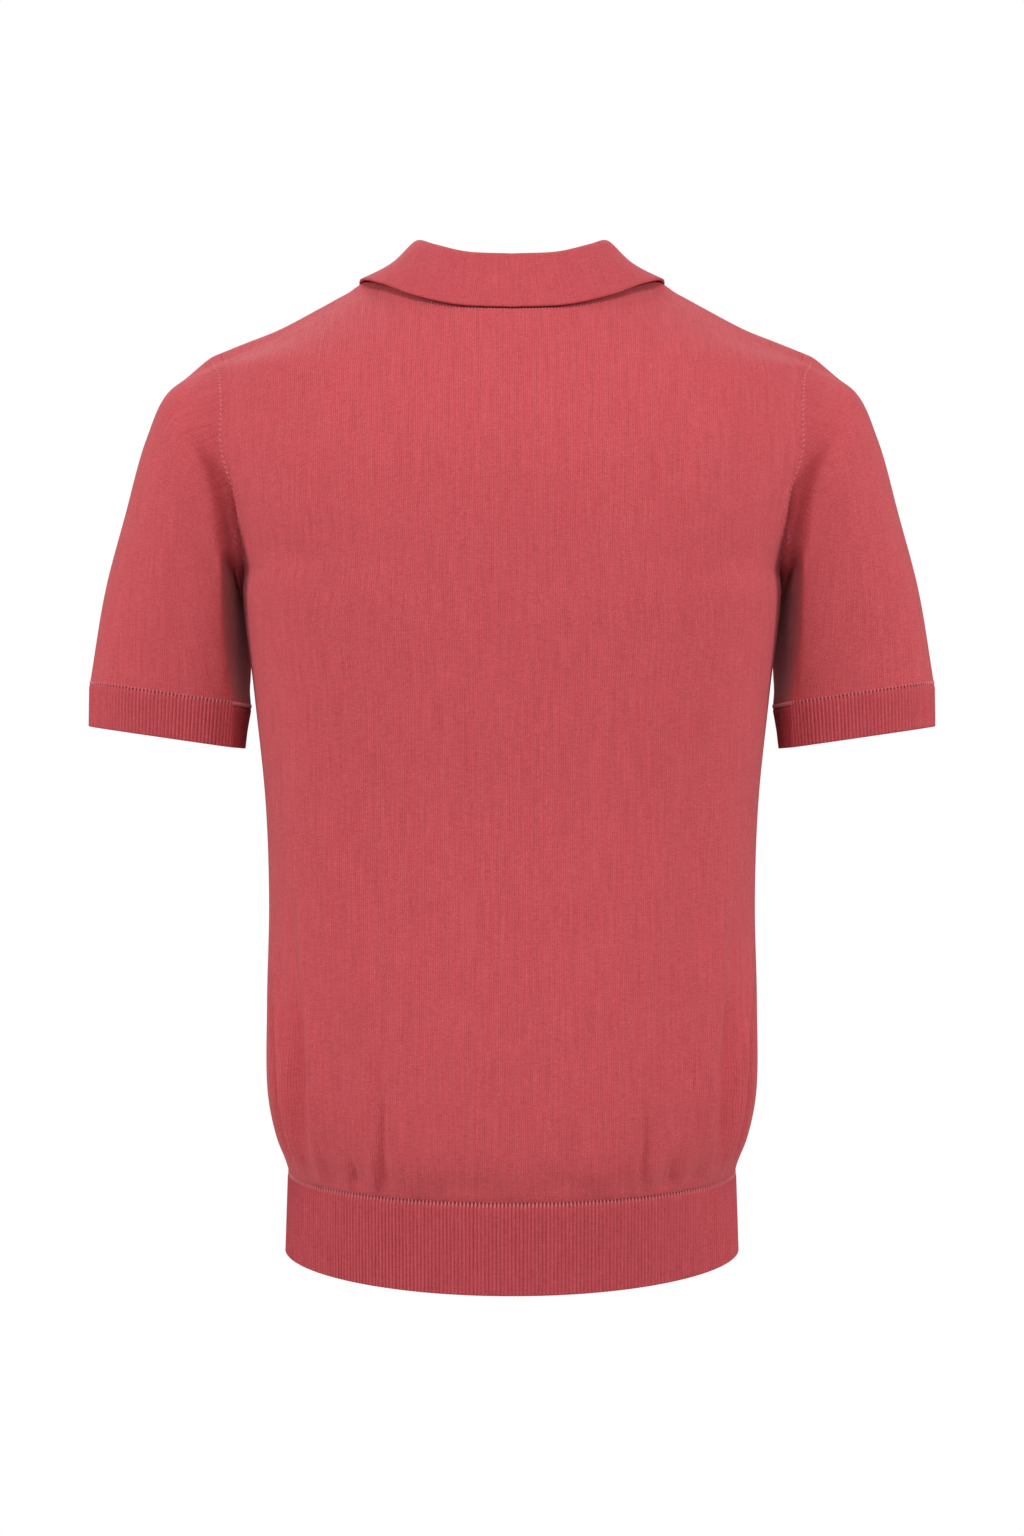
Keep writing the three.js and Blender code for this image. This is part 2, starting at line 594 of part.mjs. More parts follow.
function sleeve(side) {
  const starts = armhole(side);
  const rings = SLEEVE.map((ring) => sleeveRing(ring, side));
  const columns = starts.map(({ p, out, reach }, i) => {
    const seam = p.clone().addScaledVector(out, SEAM_GAP / 2);
    const lead = p.clone().addScaledVector(out, reach);
    return smooth([seam, lead, ...rings.map((ring) => ring(around[i]))]);
  });
  const plain = (i, along) => {
    const p = columns[(i + columns.length) % columns.length].getPoint(clamp(along, 0, 1));
    const clearance = mix(0, UNDERARM_CLEARANCE, ease(along / 0.12));
    if (p.z < BACK_YOKE[1].edge[2]) p.x = side * Math.max(side * p.x, trunkSide(p.y, p.z) + clearance);
    return p;
  };
  const normalOf = (surface, i, along) => {
    const round = surface(i + 1, along).sub(surface(i - 1, along));
    const down = surface(i, Math.min(along + 0.01, 1)).sub(surface(i, Math.max(along - 0.01, 0)));
    return round.cross(down).multiplyScalar(side).normalize();
  };
  const surface = (i, along) => {
    const p = plain(i, along);
    const rise = along > 0.02 ? sleeveFoldRise(side * p.x, p.y, p.z) : 0;
    return rise ? p.addScaledVector(normalOf(plain, i, along), rise) : p;
  };
  return { surface, normal: (i, along) => normalOf(surface, i, along), starts, side };
}

function sleeveWall(cloth) {
  const outer = SLEEVE_STOPS.map((along) => around.map((_, i) => cloth.surface(i, along)));
  const inner = SLEEVE_STOPS.map((along, r) =>
    around.map((_, i) => {
      const normal = cloth.normal(i, along);
      const start = cloth.starts[i].normal;
      if (along === 0) normal.lerp(start, ease((normal.dot(start) - 0.2) / 0.5)).normalize();
      if (along === 1) normal.projectOnPlane(ringFacing(SLEEVE.at(-1), cloth.side)).normalize();
      return outer[r][i].clone().addScaledVector(normal, -JERSEY);
    }),
  );
  return wall(outer, inner, true);
}

// A ribbed band: every second column of its outer sheet stands up, over a plain inside.
function ribbedWall(topLine, hemLine, normalAt, length, closed) {
  const ribs = Math.round(length / RIB_PITCH);
  const shareList = (count) => Array.from({ length: closed ? count : count + 1 }, (_, i) => i / count);
  const outerShares = shareList(ribs * 2);
  const outer = [topLine, hemLine].map((line) =>
    outerShares.map((f, i) => line(f).addScaledVector(normalAt(f), i % 2 ? RIB_RISE : 0)),
  );
  const inner = [topLine, hemLine].map((line) =>
    shareList(RIBBED_COLUMNS).map((f) => line(f).addScaledVector(normalAt(f), -RIB_BASE)),
  );
  return wall(outer, inner, closed);
}

function cuffWall(side) {
  const top = sleeveRing(SLEEVE.at(-1), side);
  const hem = sleeveRing(CUFF_HEM, side);
  const down = hem(0).sub(top(0)).normalize();
  const topLine = (f) => top(f).addScaledVector(down, SEAM_GAP);
  const facing = ringFacing(SLEEVE.at(-1), side);
  const normalAt = (f) => {
    const round = top((f + 0.004) % 1).sub(top((f + 0.996) % 1));
    return round.cross(down).multiplyScalar(side).projectOnPlane(facing).normalize();
  };
  const length = byLength(hem).total;
  return ribbedWall(topLine, hem, normalAt, length, true);
}

// Half of the waistband, below the back or the front.
function bandWall(facing) {
  const seam = TRUNK[0];
  const rowOf = (half, depth, square, height) =>
    byLength((f) => {
      const [x, y] = superellipse(((f * 2 - 1) * Math.PI) / 2, square);
      return point(half * x, facing * depth * y, height(f, x));
    });
  const topDepth = facing > 0 ? seam.back : seam.front;
  const hemDepth = facing > 0 ? BAND.back : BAND.front;
  const dip = facing > 0 ? BAND_HEM.dipBack : BAND_HEM.dipFront;
  const seamHeight = (f, x) => seam.z - SEAM_GAP - seam.sag * (1 - x * x);
  const top = rowOf(seam.half, topDepth, seam.square, seamHeight);
  const hem = rowOf(BAND.half, hemDepth, BAND.square, (f) => BAND_HEM.z - dip * Math.sin(Math.PI * f) ** 1.5);
  const trim = SEAM_GAP / 2 / top.total;
  const inset = (f) => mix(trim, 1 - trim, f);
  const normalAt = (f) => {
    const g = inset(f);
    const along = top.at(Math.min(g + 0.002, 1)).sub(top.at(Math.max(g - 0.002, 0)));
    return point(0, 0, 1).cross(along).multiplyScalar(facing).normalize();
  };
  return ribbedWall((f) => top.at(inset(f)), (f) => hem.at(inset(f)), normalAt, hem.total, false);
}

// Collar: one strip that stands up from the neck, rolls over and lies on the shoulders as a leaf.
function collarWall() {
  const foldLine = smooth(COLLAR.map(({ fold }) => point(...fold)));
  const edgeLine = smooth(COLLAR.map(({ edge }) => point(...edge)));
  const last = COLLAR.length - 1;
  const stations = [];
  for (let i = -last; i <= last; i++) {
    stations.push(i);
    if (i < last) stations.push(i + 0.5);
  }
  const valueAt = (name, k) => {
    const i = Math.min(Math.floor(k), last - 1);
    return mix(COLLAR[i][name], COLLAR[i + 1][name], k - i);
  };
  const mirror = (p, side) => point(p.x * side, p.y, p.z);
  const section = (station) => {
    const side = station < 0 ? -1 : 1;
    const k = Math.abs(station);
    const seam = mirror(neckPoint(valueAt("angle", k)), side).add(point(0, 0, COLLAR_LIFT));
    const fold = mirror(foldLine.getPoint(k / last), side);
    const edge = mirror(edgeLine.getPoint(k / last), side);
    const up = fold.clone().sub(seam).normalize();
    const leaf = edge.clone().sub(fold);
    const out = leaf.clone().addScaledVector(up, -leaf.dot(up)).normalize();
    const lift = up.clone().multiplyScalar(0.45).add(out).normalize();
    const at = (along, away) => fold.clone().addScaledVector(up, along).addScaledVector(out, away);
    const half = at(0, 0).lerp(edge, 0.5).addScaledVector(lift, valueAt("bow", k));
    return smooth([
      seam,
      seam.clone().lerp(fold, 0.5).addScaledVector(out, -STAND_HOLLOW),
      at(-COLLAR_ROLL, -COLLAR_ROLL * 0.6),
      at(0, 0),
      at(-COLLAR_ROLL * 0.7, COLLAR_ROLL),
      half,
      edge,
    ]);
  };
  const sections = stations.map(section);
  // The strip's first face looks away from the neck, and after the roll the same face lies underneath.
  const sheet = COLLAR_STOPS.map((stop) => sections.map((curve) => curve.getPoint(stop)));
  const under = sheet.map((row, r) =>
    row.map((p, i) => {
      const along = row[Math.min(i + 1, row.length - 1)].clone().sub(row[Math.max(i - 1, 0)]);
      const across = sheet[Math.min(r + 1, sheet.length - 1)][i].clone().sub(sheet[Math.max(r - 1, 0)][i]);
      return p.clone().addScaledVector(across.cross(along).normalize(), COLLAR_WALL);
    }),
  );
  return wall(sheet, under);
}

// Finds the place on the front that lies at a given x and height.
function onFront(x, z) {
  let share = x / 240;
  let row = 0;
  for (let i = 0; i < 4; i++) {
    let low = 0;
    let high = TOP_ROW;
    for (let j = 0; j < 30; j++) {
      row = (low + high) / 2;
      if (front.surface(share, row).z < z) low = row;
      else high = row;
    }
    const here = front.surface(share, row).x;
    const slope = (front.surface(share + 0.01, row).x - here) / 0.01;
    share += (x - here) / slope;
  }
  return { p: front.surface(share, row), normal: front.normal(share, row) };
}

// A strip of cloth on the middle of the front, lifted off it by some millimetres.
function stripWall({ half, top, bottom, wall: thick }, lift) {
  const columns = [-1, -0.5, 0, 0.5, 1];
  const sheet = (away) =>
    Array.from({ length: PLACKET_STEPS + 1 }, (_, i) =>
      columns.map((c) => {
        const { p, normal } = onFront(c * half, mix(bottom, top, i / PLACKET_STEPS));
        return p.addScaledVector(normal, away);
      }),
    );
  return wall(sheet(lift + thick), sheet(lift));
}

// A round button with a raised rim and four holes, lying on its back at the origin.
function buttonSolid() {
  const { radius, back: backRadius, rimOuter, rimInner, thick, dish } = BUTTON;
  const { radius: hole, spread } = BUTTON_HOLE;
  const profile = [
    [0, 0],
    [backRadius, 0],
    [radius, thick * 0.45],
    [rimOuter, thick],
    [rimInner, thick - dish],
    [0, thick - dish],
  ];
  const outline = profile.map(([x, y]) => new THREE.Vector2(x, y));
  let solid = solidOf(new THREE.LatheGeometry(outline, BUTTON_SIDES).rotateX(Math.PI / 2));
  for (let quarter = 0.5; quarter < 4; quarter++) {
    const turn = (quarter * Math.PI) / 2;
    const drill = new THREE.CylinderGeometry(hole, hole, thick * 3, 5).rotateX(Math.PI / 2);
    drill.translate(spread * Math.cos(turn), spread * Math.sin(turn), 0);
    solid = solid.subtract(solidOf(drill));
  }
  return solid;
}

// Solids for cutting
const wasm = await Module();
wasm.setup();
function solidOf(geometry) {
  const bare = geometry.clone();
  bare.deleteAttribute("normal");
  bare.deleteAttribute("uv");
  const merged = mergeVertices(bare, 1e-4);
  return new wasm.Manifold(
    new wasm.Mesh({
      numProp: 3,
      vertProperties: new Float32Array(merged.attributes.position.array),
      triVerts: new Uint32Array(merged.index.array),
    }),
  );
}
function geometryOf(solid) {
  const mesh = solid.getMesh();
  const made = new THREE.BufferGeometry();
  made.setAttribute("position", new THREE.Float32BufferAttribute(mesh.vertProperties, 3));
  made.setIndex(new THREE.Uint32BufferAttribute(mesh.triVerts, 1));
  made.computeVertexNormals();
  return made;
}

const shirt = new THREE.Group();
function place(name, geometry, material) {
  const mesh = new THREE.Mesh(geometry, material);
  mesh.name = name;
  shirt.add(mesh);
  return mesh;
}

// The front is slit from the neck down, behind the placket.
function slitFront() {
  const height = NECK.top - SLIT.bottom;
  const reach = 2 * (FRONT_YOKE[0].middle[0] - NECK.front);
  const slit = new THREE.BoxGeometry(SLIT.half * 2, Math.abs(reach), height);
  slit.translate(0, (FRONT_YOKE[0].middle[0] + NECK.front) / 2, SLIT.bottom + height / 2);
  return geometryOf(solidOf(panelWall(front)).subtract(solidOf(slit)));
}

place("back_panel", panelWall(back), jersey);
place("front_panel", slitFront(), jersey);
for (const [name, side] of [["left", 1], ["right", -1]]) {
  place("sleeve_" + name, sleeveWall(sleeve(side)), jersey);
  place("cuff_" + name, cuffWall(side), rib);
}
place("waistband_back", bandWall(1), rib);
place("waistband_front", bandWall(-1), rib);
place("collar", collarWall(), jersey);
place("placket", stripWall(PLACKET, PLACKET_LIFT), jersey);
const behindFront = -JERSEY - SEAM_GAP - PLACKET_LIFT - UNDER_PLACKET.wall;
place("placket_under", stripWall(UNDER_PLACKET, behindFront), jersey);

const buttonShape = buttonSolid();
BUTTON_HEIGHTS.forEach((height, i) => {
  const { p, normal } = onFront(0, height);
  const button = place("button_" + (i + 1), geometryOf(buttonShape), buttonShell);
  button.position.copy(p).addScaledVector(normal, PLACKET_LIFT + PLACKET.wall + SEAM_GAP);
  button.quaternion.setFromUnitVectors(point(0, 0, 1), normal);
});

export default shirt;
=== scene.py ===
# A fine-knit polo shirt, filled out as it is worn with nobody in it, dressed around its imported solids.
#
# The tables are in millimetres, as the solids were drawn, and the meshes are in metres. The wearer would
# face -Y. Each piece of cloth is a thin closed shell: an outer sheet, an inner sheet and rounded edges.

import math

import bpy
import numpy as np
from mathutils import Matrix, Vector


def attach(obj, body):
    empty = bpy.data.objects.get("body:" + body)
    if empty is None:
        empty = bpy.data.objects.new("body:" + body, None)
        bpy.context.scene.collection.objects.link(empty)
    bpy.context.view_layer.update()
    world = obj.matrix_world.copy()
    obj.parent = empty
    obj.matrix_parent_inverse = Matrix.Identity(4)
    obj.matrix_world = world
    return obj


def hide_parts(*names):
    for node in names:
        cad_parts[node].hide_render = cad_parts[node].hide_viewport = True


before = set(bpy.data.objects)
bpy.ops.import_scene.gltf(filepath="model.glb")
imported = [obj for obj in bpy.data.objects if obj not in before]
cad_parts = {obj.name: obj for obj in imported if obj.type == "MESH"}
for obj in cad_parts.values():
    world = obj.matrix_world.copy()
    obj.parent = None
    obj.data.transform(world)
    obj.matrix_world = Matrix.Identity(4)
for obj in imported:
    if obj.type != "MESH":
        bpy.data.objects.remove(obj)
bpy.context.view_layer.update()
MM = 0.001


def table(columns, *rows):
    names = columns.split()
    return [dict(zip(names, row)) for row in rows]


# Cloth
JERSEY = 1.1  # thickness of the plain knit
RIB_BASE = 1.3  # thickness of the ribbed knit between its ribs
RIB_RISE = 0.65  # how far a rib stands above it
COLLAR_WALL = 1.7
SEAM_GAP = 0.3
RIB_PITCH = 2.46
WALE = 1.45  # width of one column of plain stitches
COURSE = 1.05  # height of one row of them

# Trunk, from the waistband's seam up towards the armpit
TRUNK = table(
    "z half back front square sag",
    (-606, 153.5, 112.5, 107, 2.08, 4),
    (-597, 156, 116, 111, 2.14, 3.5),
    (-582, 161.5, 120, 115, 2.25, 3),
    (-552, 167.3, 121, 118, 2.4, 2),
    (-490, 167.7, 116.5, 117.5, 2.55, 1),
    (-420, 166.3, 111, 116.5, 2.6, 1),
    (-352, 168.8, 109, 119, 2.6, 2),
    (-283, 175.8, 113, 124, 2.65, 4),
)

# Rows from the armpit up to the shoulder, from the middle of the panel to the armhole
YOKE_COLUMNS = "edge middle turn square"
BACK_YOKE = table(
    YOKE_COLUMNS,
    ((183.5, 0, -209), (117.5, -226), 90, 2.8),
    ((181.5, 38, -189), (118.5, -198), 71, 2.8),
    ((183.5, 60, -155), (119, -165), 59, 2.7),
    ((188, 63, -120), (116, -130), 54, 2.5),
    ((189, 54, -86), (106.5, -96), 52, 2.5),
    ((193.8, 34, -61), (92, -62), 56, 2.5),
)
FRONT_YOKE = table(
    YOKE_COLUMNS,
    ((183.5, 0, -209), (-125, -228), 90, 2.7),
    ((176.5, -40, -188), (-124, -203), 72, 2.7),
    ((173, -60, -152), (-120, -177), 61, 2.6),
    ((178.5, -57, -112), (-110, -151), 56, 2.3),
    ((188, -43, -76), (-98, -126), 56, 2.3),
    ((197.5, -23, -53), (-87, -105), 60, 2.3),
)

# Shoulder and neck
RIDGE = table("x z", (72, 15), (90, 7), (110, -1.6), (135, -14.8), (161, -28), (182, -36), (201.5, -43.6))
RIDGE_Y = -3
SHOULDER_TIP = (197.7, 15, -52)
SEAM_BOW = 3
NECK = {"half": 76, "back": 65, "front": -70, "top": 13, "drop_back": 32, "drop_front": 91, "dip": 1.55}
NECK_SEAM_ANGLE = 72
NECK_STEP = 15
BESIDE_BACK_NECK = {"middle": (0, 1.1, -1.04), "corner": (0.8, 0.76, -0.84), "angle": 58}
BESIDE_FRONT_NECK = {"middle": (0, -0.45, -0.9), "corner": (0.9, 0, -0.4), "angle": 90}
BACK_SHOULDER_END = {"x": 196, "y": 24.5}
BACK_SHOULDER_FALL = 0.46
BACK_NECK_SHARE = 5 / 12
FRONT_NECK_SHARE = 6 / 12

# Sleeve rings from just past the armhole down to the cuff
SLEEVE_COLUMNS = "top under back front face slant"
SLEEVE = table(
    SLEEVE_COLUMNS,
    ((234.5, -71), (180, -222), 63, -60, 187, 0.09),
    ((250.5, -104), (180, -231), 62, -60, 187.5, 0.09),
    ((265, -155), (180, -246), 58.5, -58, 187.5, 0.1),
    ((279, -207), (180, -265), 53, -54, 187, 0.1),
    ((290, -271), (181, -287), 47, -49, 184.5, 0.1),
)
CUFF_HEM = table(SLEEVE_COLUMNS, ((290.5, -301), (184, -316.5), 45.5, -47.5, 188.5, 0.03))[0]
SLEEVE_SQUARE = {"outer": 2.25, "under_back": 3.8, "under_front": 3.2}
UNDERARM_CLEARANCE = 2.2
SLEEVE_LEAD = {"low": 6, "top": 8}
UNDERARM_WAY = (0.8, 0, -0.6)
SLEEVE_FOLD = table(
    "x z depth",
    (217, -106, 0),
    (206, -115, 2.4),
    (197, -127, 4),
    (190.5, -145, 4.6),
    (186.5, -165, 4),
    (184, -186, 0),
)
SLEEVE_FOLD_SHAPE = {"width": 5.5, "lip": 0.45, "lip_away": 9}

# Waistband
BAND = {"half": 155.3, "back": 110.5, "front": 107.5, "square": 2.04}
BAND_HEM = {"z": -660.5, "dip_back": 8.5, "dip_front": 4}

# Folds that start from the waistband's seam: the foot's share of the way to the side, how far it has
# moved by its head, the head's height, and how far it stands out
FOLD_COLUMNS = "across lean head rise width"
BACK_FOLDS = table(
    FOLD_COLUMNS,
    (-0.345, -0.01, -520, -2.2, 9),
    (0.355, 0.01, -508, -2, 9),
    (-0.295, 0, -545, 1.6, 9),
    (0.305, 0, -538, 1.4, 9),
    (-0.6, 0, -530, -2.8, 8),
    (0.58, 0, -538, -2.6, 8),
    (-0.475, 0, -566, -1.8, 7),
    (0.47, 0, -560, -1.7, 7),
    (-0.19, 0.01, -570, -1.5, 7),
    (0.2, -0.01, -572, -1.6, 7),
    (-0.085, 0, -576, -1.1, 7),
    (0.075, 0, -575, -1.2, 7),
)
FRONT_FOLDS = table(
    FOLD_COLUMNS,
    (-0.3, 0, -530, -3.6, 9),
    (0.38, 0, -520, -3.8, 9),
    (-0.46, 0, -560, -1.8, 7),
    (0.53, 0, -564, -1.8, 7),
    (-0.14, 0, -572, -1.3, 7),
    (0.16, 0, -570, -1.4, 7),
)
FOLD_FADE = 12

# Pleats that lean as they climb: their widths towards the middle and towards the side, then points on the
# crest or in the valley, as height, share of the way to the side, and how far it stands out there
PLEATS = {
    "outer_trough": (6, 5, ((-598, 0.8, 0), (-580, 0.79, -4), (-545, 0.785, -6), (-510, 0.8, -5),
                            (-470, 0.84, 0))),
    "outer_ridge": (7, 4, ((-603, 0.745, 0), (-581, 0.71, 2.8), (-548, 0.697, 4.2), (-509, 0.715, 3.4),
                           (-471, 0.76, 2), (-419, 0.834, 0))),
    "inner_trough": (5, 7, ((-598, 0.66, 0), (-575, 0.645, -2.2), (-546, 0.63, -3.6), (-506, 0.636, -3.6),
                            (-481, 0.645, -2), (-449, 0.665, -1.4), (-400, 0.69, 0))),
    "inner_ridge": (12, 4, ((-606, 0.636, 0), (-590, 0.618, 2.2), (-545, 0.578, 3.4), (-513, 0.583, 3),
                            (-481, 0.604, 2), (-449, 0.626, 1.2), (-405, 0.65, 0))),
    "crease": (1.7, 2.4, ((-606, 0.395, 0), (-597, 0.38, -1), (-583, 0.371, -1.5), (-563, 0.36, -1.2),
                          (-537, 0.346, -0.5), (-515, 0.34, 0))),
    "beside_crease": (6, 4, ((-604, 0.345, 0), (-592, 0.34, 0.7), (-560, 0.33, 0.8), (-525, 0.32, 0))),
    "gather": (2, 2.5, ((-606, 0.5, 0), (-600, 0.494, -1.6), (-592, 0.48, -1.3), (-577, 0.475, 0))),
    "light_gather": (3.5, 3.5, ((-605, 0.43, 0), (-598, 0.418, 1.4), (-588, 0.41, 1.2), (-570, 0.405, 0))),
    "middle_trough": (10, 10, ((-606, 0.15, 0), (-596, 0.15, -1.1), (-575, 0.16, -0.9), (-540, 0.17, 0))),
    "middle_ridge": (7, 9, ((-605, 0.21, 0), (-595, 0.2, 1.1), (-580, 0.2, 0.8), (-560, 0.2, 0))),
}
# How many times further each side's pleats stand out than the table says, and their shift in share
PLEAT_SIDES = {1: (1.5, 0), -1: (1.35, 0.008)}
FRONT_PLEATS = {
    "outer_trough": (7, 5, ((-600, 0.8, 0), (-575, 0.79, -3), (-540, 0.78, -4.5), (-500, 0.79, -3),
                            (-450, 0.82, 0))),
    "outer_ridge": (8, 5, ((-603, 0.73, 0), (-575, 0.7, 2.4), (-540, 0.69, 3.2), (-490, 0.71, 2.4),
                           (-420, 0.78, 0))),
    "inner_trough": (7, 7, ((-600, 0.64, 0), (-570, 0.63, -1.6), (-530, 0.62, -2), (-480, 0.63, -1.4),
                            (-430, 0.66, 0))),
    "inner_ridge": (12, 5, ((-606, 0.6, 0), (-585, 0.575, 1.8), (-540, 0.56, 2.6), (-490, 0.58, 1.6),
                            (-430, 0.61, 0))),
    "crease": (2.5, 3, ((-606, 0.31, 0), (-595, 0.3, -1.6), (-575, 0.29, -1.8), (-545, 0.28, 0))),
    "gather": (2.5, 2.5, ((-606, 0.47, 0), (-598, 0.46, -1.3), (-580, 0.455, 0))),
}
SEAM_DIP = {"depth": 0.7, "width": 1.6}  # the cloth sinks a little into the waistband's seam

# Small puckers where the body is gathered into the waistband
BACK_PUCKERS = table(
    FOLD_COLUMNS,
    (-0.93, 0, -575, -1.2, 4),
    (-0.79, 0.01, -560, 1.1, 4),
    (-0.665, 0, -572, 0.9, 3.5),
    (-0.54, 0, -578, 0.8, 3.5),
    (-0.42, 0.01, -583, -0.9, 3),
    (-0.385, -0.01, -578, 0.8, 3),
    (-0.25, 0, -586, -0.8, 3),
    (-0.135, 0, -588, -0.7, 3),
    (-0.035, 0, -590, 0.6, 3),
    (0.02, 0, -588, -0.6, 3),
    (0.13, 0, -586, -0.8, 3),
    (0.255, 0.01, -584, -0.7, 3),
    (0.4, 0, -579, -0.9, 3),
    (0.43, 0, -577, 0.8, 3),
    (0.525, 0, -580, 0.8, 3.5),
    (0.64, 0, -570, 0.9, 3.5),
    (0.76, -0.01, -563, 1.0, 4),
    (0.94, 0, -572, -1.2, 4),
)
FRONT_PUCKERS = table(
    FOLD_COLUMNS,
    (-0.92, 0, -574, -1.1, 4),
    (-0.74, 0, -568, 1.0, 4),
    (-0.54, 0, -579, -0.9, 3),
    (-0.39, 0, -583, 0.8, 3),
    (-0.22, 0, -586, -0.8, 3),
    (-0.06, 0, -590, -0.6, 3),
    (0.08, 0, -588, 0.6, 3),
    (0.24, 0, -585, -0.7, 3),
    (0.45, 0, -580, -0.9, 3),
    (0.6, 0, -575, 0.8, 3.5),
    (0.76, 0, -566, 1.0, 4),
    (0.93, 0, -574, -1.1, 4),
)

# Soft creases in the body's cloth: from one point to another on the panel, in x and z
CREASE_COLUMNS = "x z to_x to_z rise width"
BACK_CREASES = table(
    CREASE_COLUMNS,
    (163, -183, 128, -196, -1.3, 7),
    (166, -198, 133, -222, 1.1, 8),
    (168, -221, 140, -252, -1.2, 8),
    (-163, -185, -131, -200, -1.2, 7),
    (-166, -203, -130, -224, 1.1, 8),
    (-168, -226, -143, -260, -1.1, 8),
    (78, -412, 34, -478, -0.9, 11),
    (-60, -505, -22, -520, -0.6, 10),
    (118, -120, 96, -60, -0.7, 12),
    (-120, -124, -98, -66, -0.7, 12),
    (20, -92, -24, -96, -0.5, 14),
    (150, -330, 120, -395, 0.7, 14),
    (-152, -318, -118, -402, 0.7, 14),
)
FRONT_CREASES = table(
    CREASE_COLUMNS,
    (160, -180, 118, -204, -1.3, 8),
    (164, -204, 122, -240, 1.1, 9),
    (-160, -182, -120, -208, -1.3, 8),
    (-164, -206, -126, -238, 1.1, 9),
    (38, -250, 60, -330, -0.8, 12),
    (-34, -246, -66, -320, -0.8, 12),
    (120, -70, 92, -130, 0.9, 12),
    (-120, -72, -90, -128, 0.9, 12),
    (60, -400, 20, -450, -0.8, 12),
)

# Creases of the sleeves, by their x, depth and height at both ends
SLEEVE_CREASES = table(
    "at to rise width",
    ((206, 40, -262), (196, 44, -200), -1.8, 8),
    ((220, 46, -190), (204, 52, -160), 1.0, 9),
    ((262, 35, -150), (272, 30, -205), -0.8, 12),
    ((236, 50, -236), (252, 44, -268), -0.7, 10),
    ((225, -50, -150), (206, -48, -186), -1.6, 9),
    ((212, -50, -210), (203, -44, -262), -1.5, 9),
)

# Collar, from the middle of the back round to the middle of the front: the fold and the leaf's edge
COLLAR = table(
    "angle fold edge bow",
    (0, (0, 58, 12), (0, 77.5, -26.5), 2),
    (28, (29, 52.5, 14.5), (36, 73.5, -24), 2),
    (52, (51, 36, 23), (66, 60, -14.8), 3),
    (72, (61.5, 18, 30), (89, 36, -2), 1),
    (92, (63.5, -2, 32.5), (105, 2, 5.9), -3.5),
    (115, (61, -28, 24), (100, -37, -9), 4),
    (140, (47, -54, -8), (89, -73, -47), 8),
    (162, (26, -70, -44), (70, -94, -88), 7),
    (178, (4.5, -77, -65), (45, -107, -124), 4),
)
COLLAR_ROLL = 3
COLLAR_LIFT = 0.4
STAND_HOLLOW = 0.8

# Placket and buttons
PLACKET = {"half": 16, "top": -80, "bottom": -236, "wall": 1.6}
UNDER_PLACKET = {"half": 13, "top": -80, "bottom": -230, "wall": 1.4}
PLACKET_LIFT = 0.6
SLIT = {"half": 10, "bottom": -222}
BUTTON = {"radius": 5.75, "thick": 2.6, "dish": 0.6}
BUTTON_HOLE = {"radius": 0.75, "spread": 1.9}
BUTTON_HEIGHTS = (-102, -150, -198)
BUTTON_CLEARANCE = 0.5  # between the placket and a button's back
BUTTONHOLE = {"half": 1.5, "reach": 7.6, "thread": 0.5, "sunk": 0.35}
SEWING_THREAD = 0.24


def mix(a, b, f):
    return a + (b - a) * f


def ease(f):
    c = np.clip(f, 0, 1)
    return c * c * (3 - 2 * c)


def vectors(x, y, z):
    return np.stack(np.broadcast_arrays(x, y, z), axis=-1).astype(float)


def unit(v):
    return v / np.maximum(np.linalg.norm(v, axis=-1, keepdims=True), 1e-12)


def smooth_line(points, t):
    """A centripetal Catmull-Rom line through points (n, k, 3), at shares t (m, k) of its spans."""
    n = len(points)
    whole = np.concatenate([2 * points[:1] - points[1:2], points, 2 * points[-1:] - points[-2:-1]])
    place = np.clip(t, 0, 1) * (n - 1)
    span = np.minimum(place.astype(int), n - 2)
    f = (place - span)[..., None]
    column = np.arange(points.shape[1])
    p = [whole[span + i, column] for i in range(4)]
    d = [np.sqrt(np.linalg.norm(p[i + 1] - p[i], axis=-1, keepdims=True)) for i in range(3)]
    d[1] = np.where(d[1] < 1e-4, 1, d[1])
    d[0], d[2] = (np.where(x < 1e-4, d[1], x) for x in (d[0], d[2]))
    start = (p[1] - p[0]) / d[0] - (p[2] - p[0]) / (d[0] + d[1]) + (p[2] - p[1]) / d[1]
    end = (p[2] - p[1]) / d[1] - (p[3] - p[1]) / (d[1] + d[2]) + (p[3] - p[2]) / d[2]
    start, end = start * d[1], end * d[1]
    square = 3 * (p[2] - p[1]) - 2 * start - end
    cube = 2 * (p[1] - p[2]) + start + end
    return p[1] + f * (start + f * (square + f * cube))


def one_line(points, t):
    """The same through points (n, 3) at shares t (m)."""
    return smooth_line(np.array(points, float)[:, None], np.asarray(t, float)[:, None])[:, 0]


class Row:
    """A line that is followed by the share of its length."""

    def __init__(self, curve, samples=240):
        self.points = curve(np.linspace(0, 1, samples + 1))
        steps = np.linalg.norm(np.diff(self.points, axis=0), axis=1)
        self.reach = np.concatenate([[0], np.cumsum(steps)])
        self.total = self.reach[-1]

    def at(self, share):
        goal = np.clip(share, 0, 1) * self.total
        return np.stack([np.interp(goal, self.reach, self.points[:, k]) for k in range(3)], axis=-1)


class BentRow:
    """A row that follows one line for the first part of the way and another after it."""

    def __init__(self, first, second, share):
        self.before, self.after, self.share = Row(first), Row(second), share
        self.total = self.before.total + self.after.total

    def at(self, share):
        first = self.before.at(share / self.share)
        second = self.after.at((share - self.share) / (1 - self.share))
        return np.where((share < self.share)[..., None], first, second)


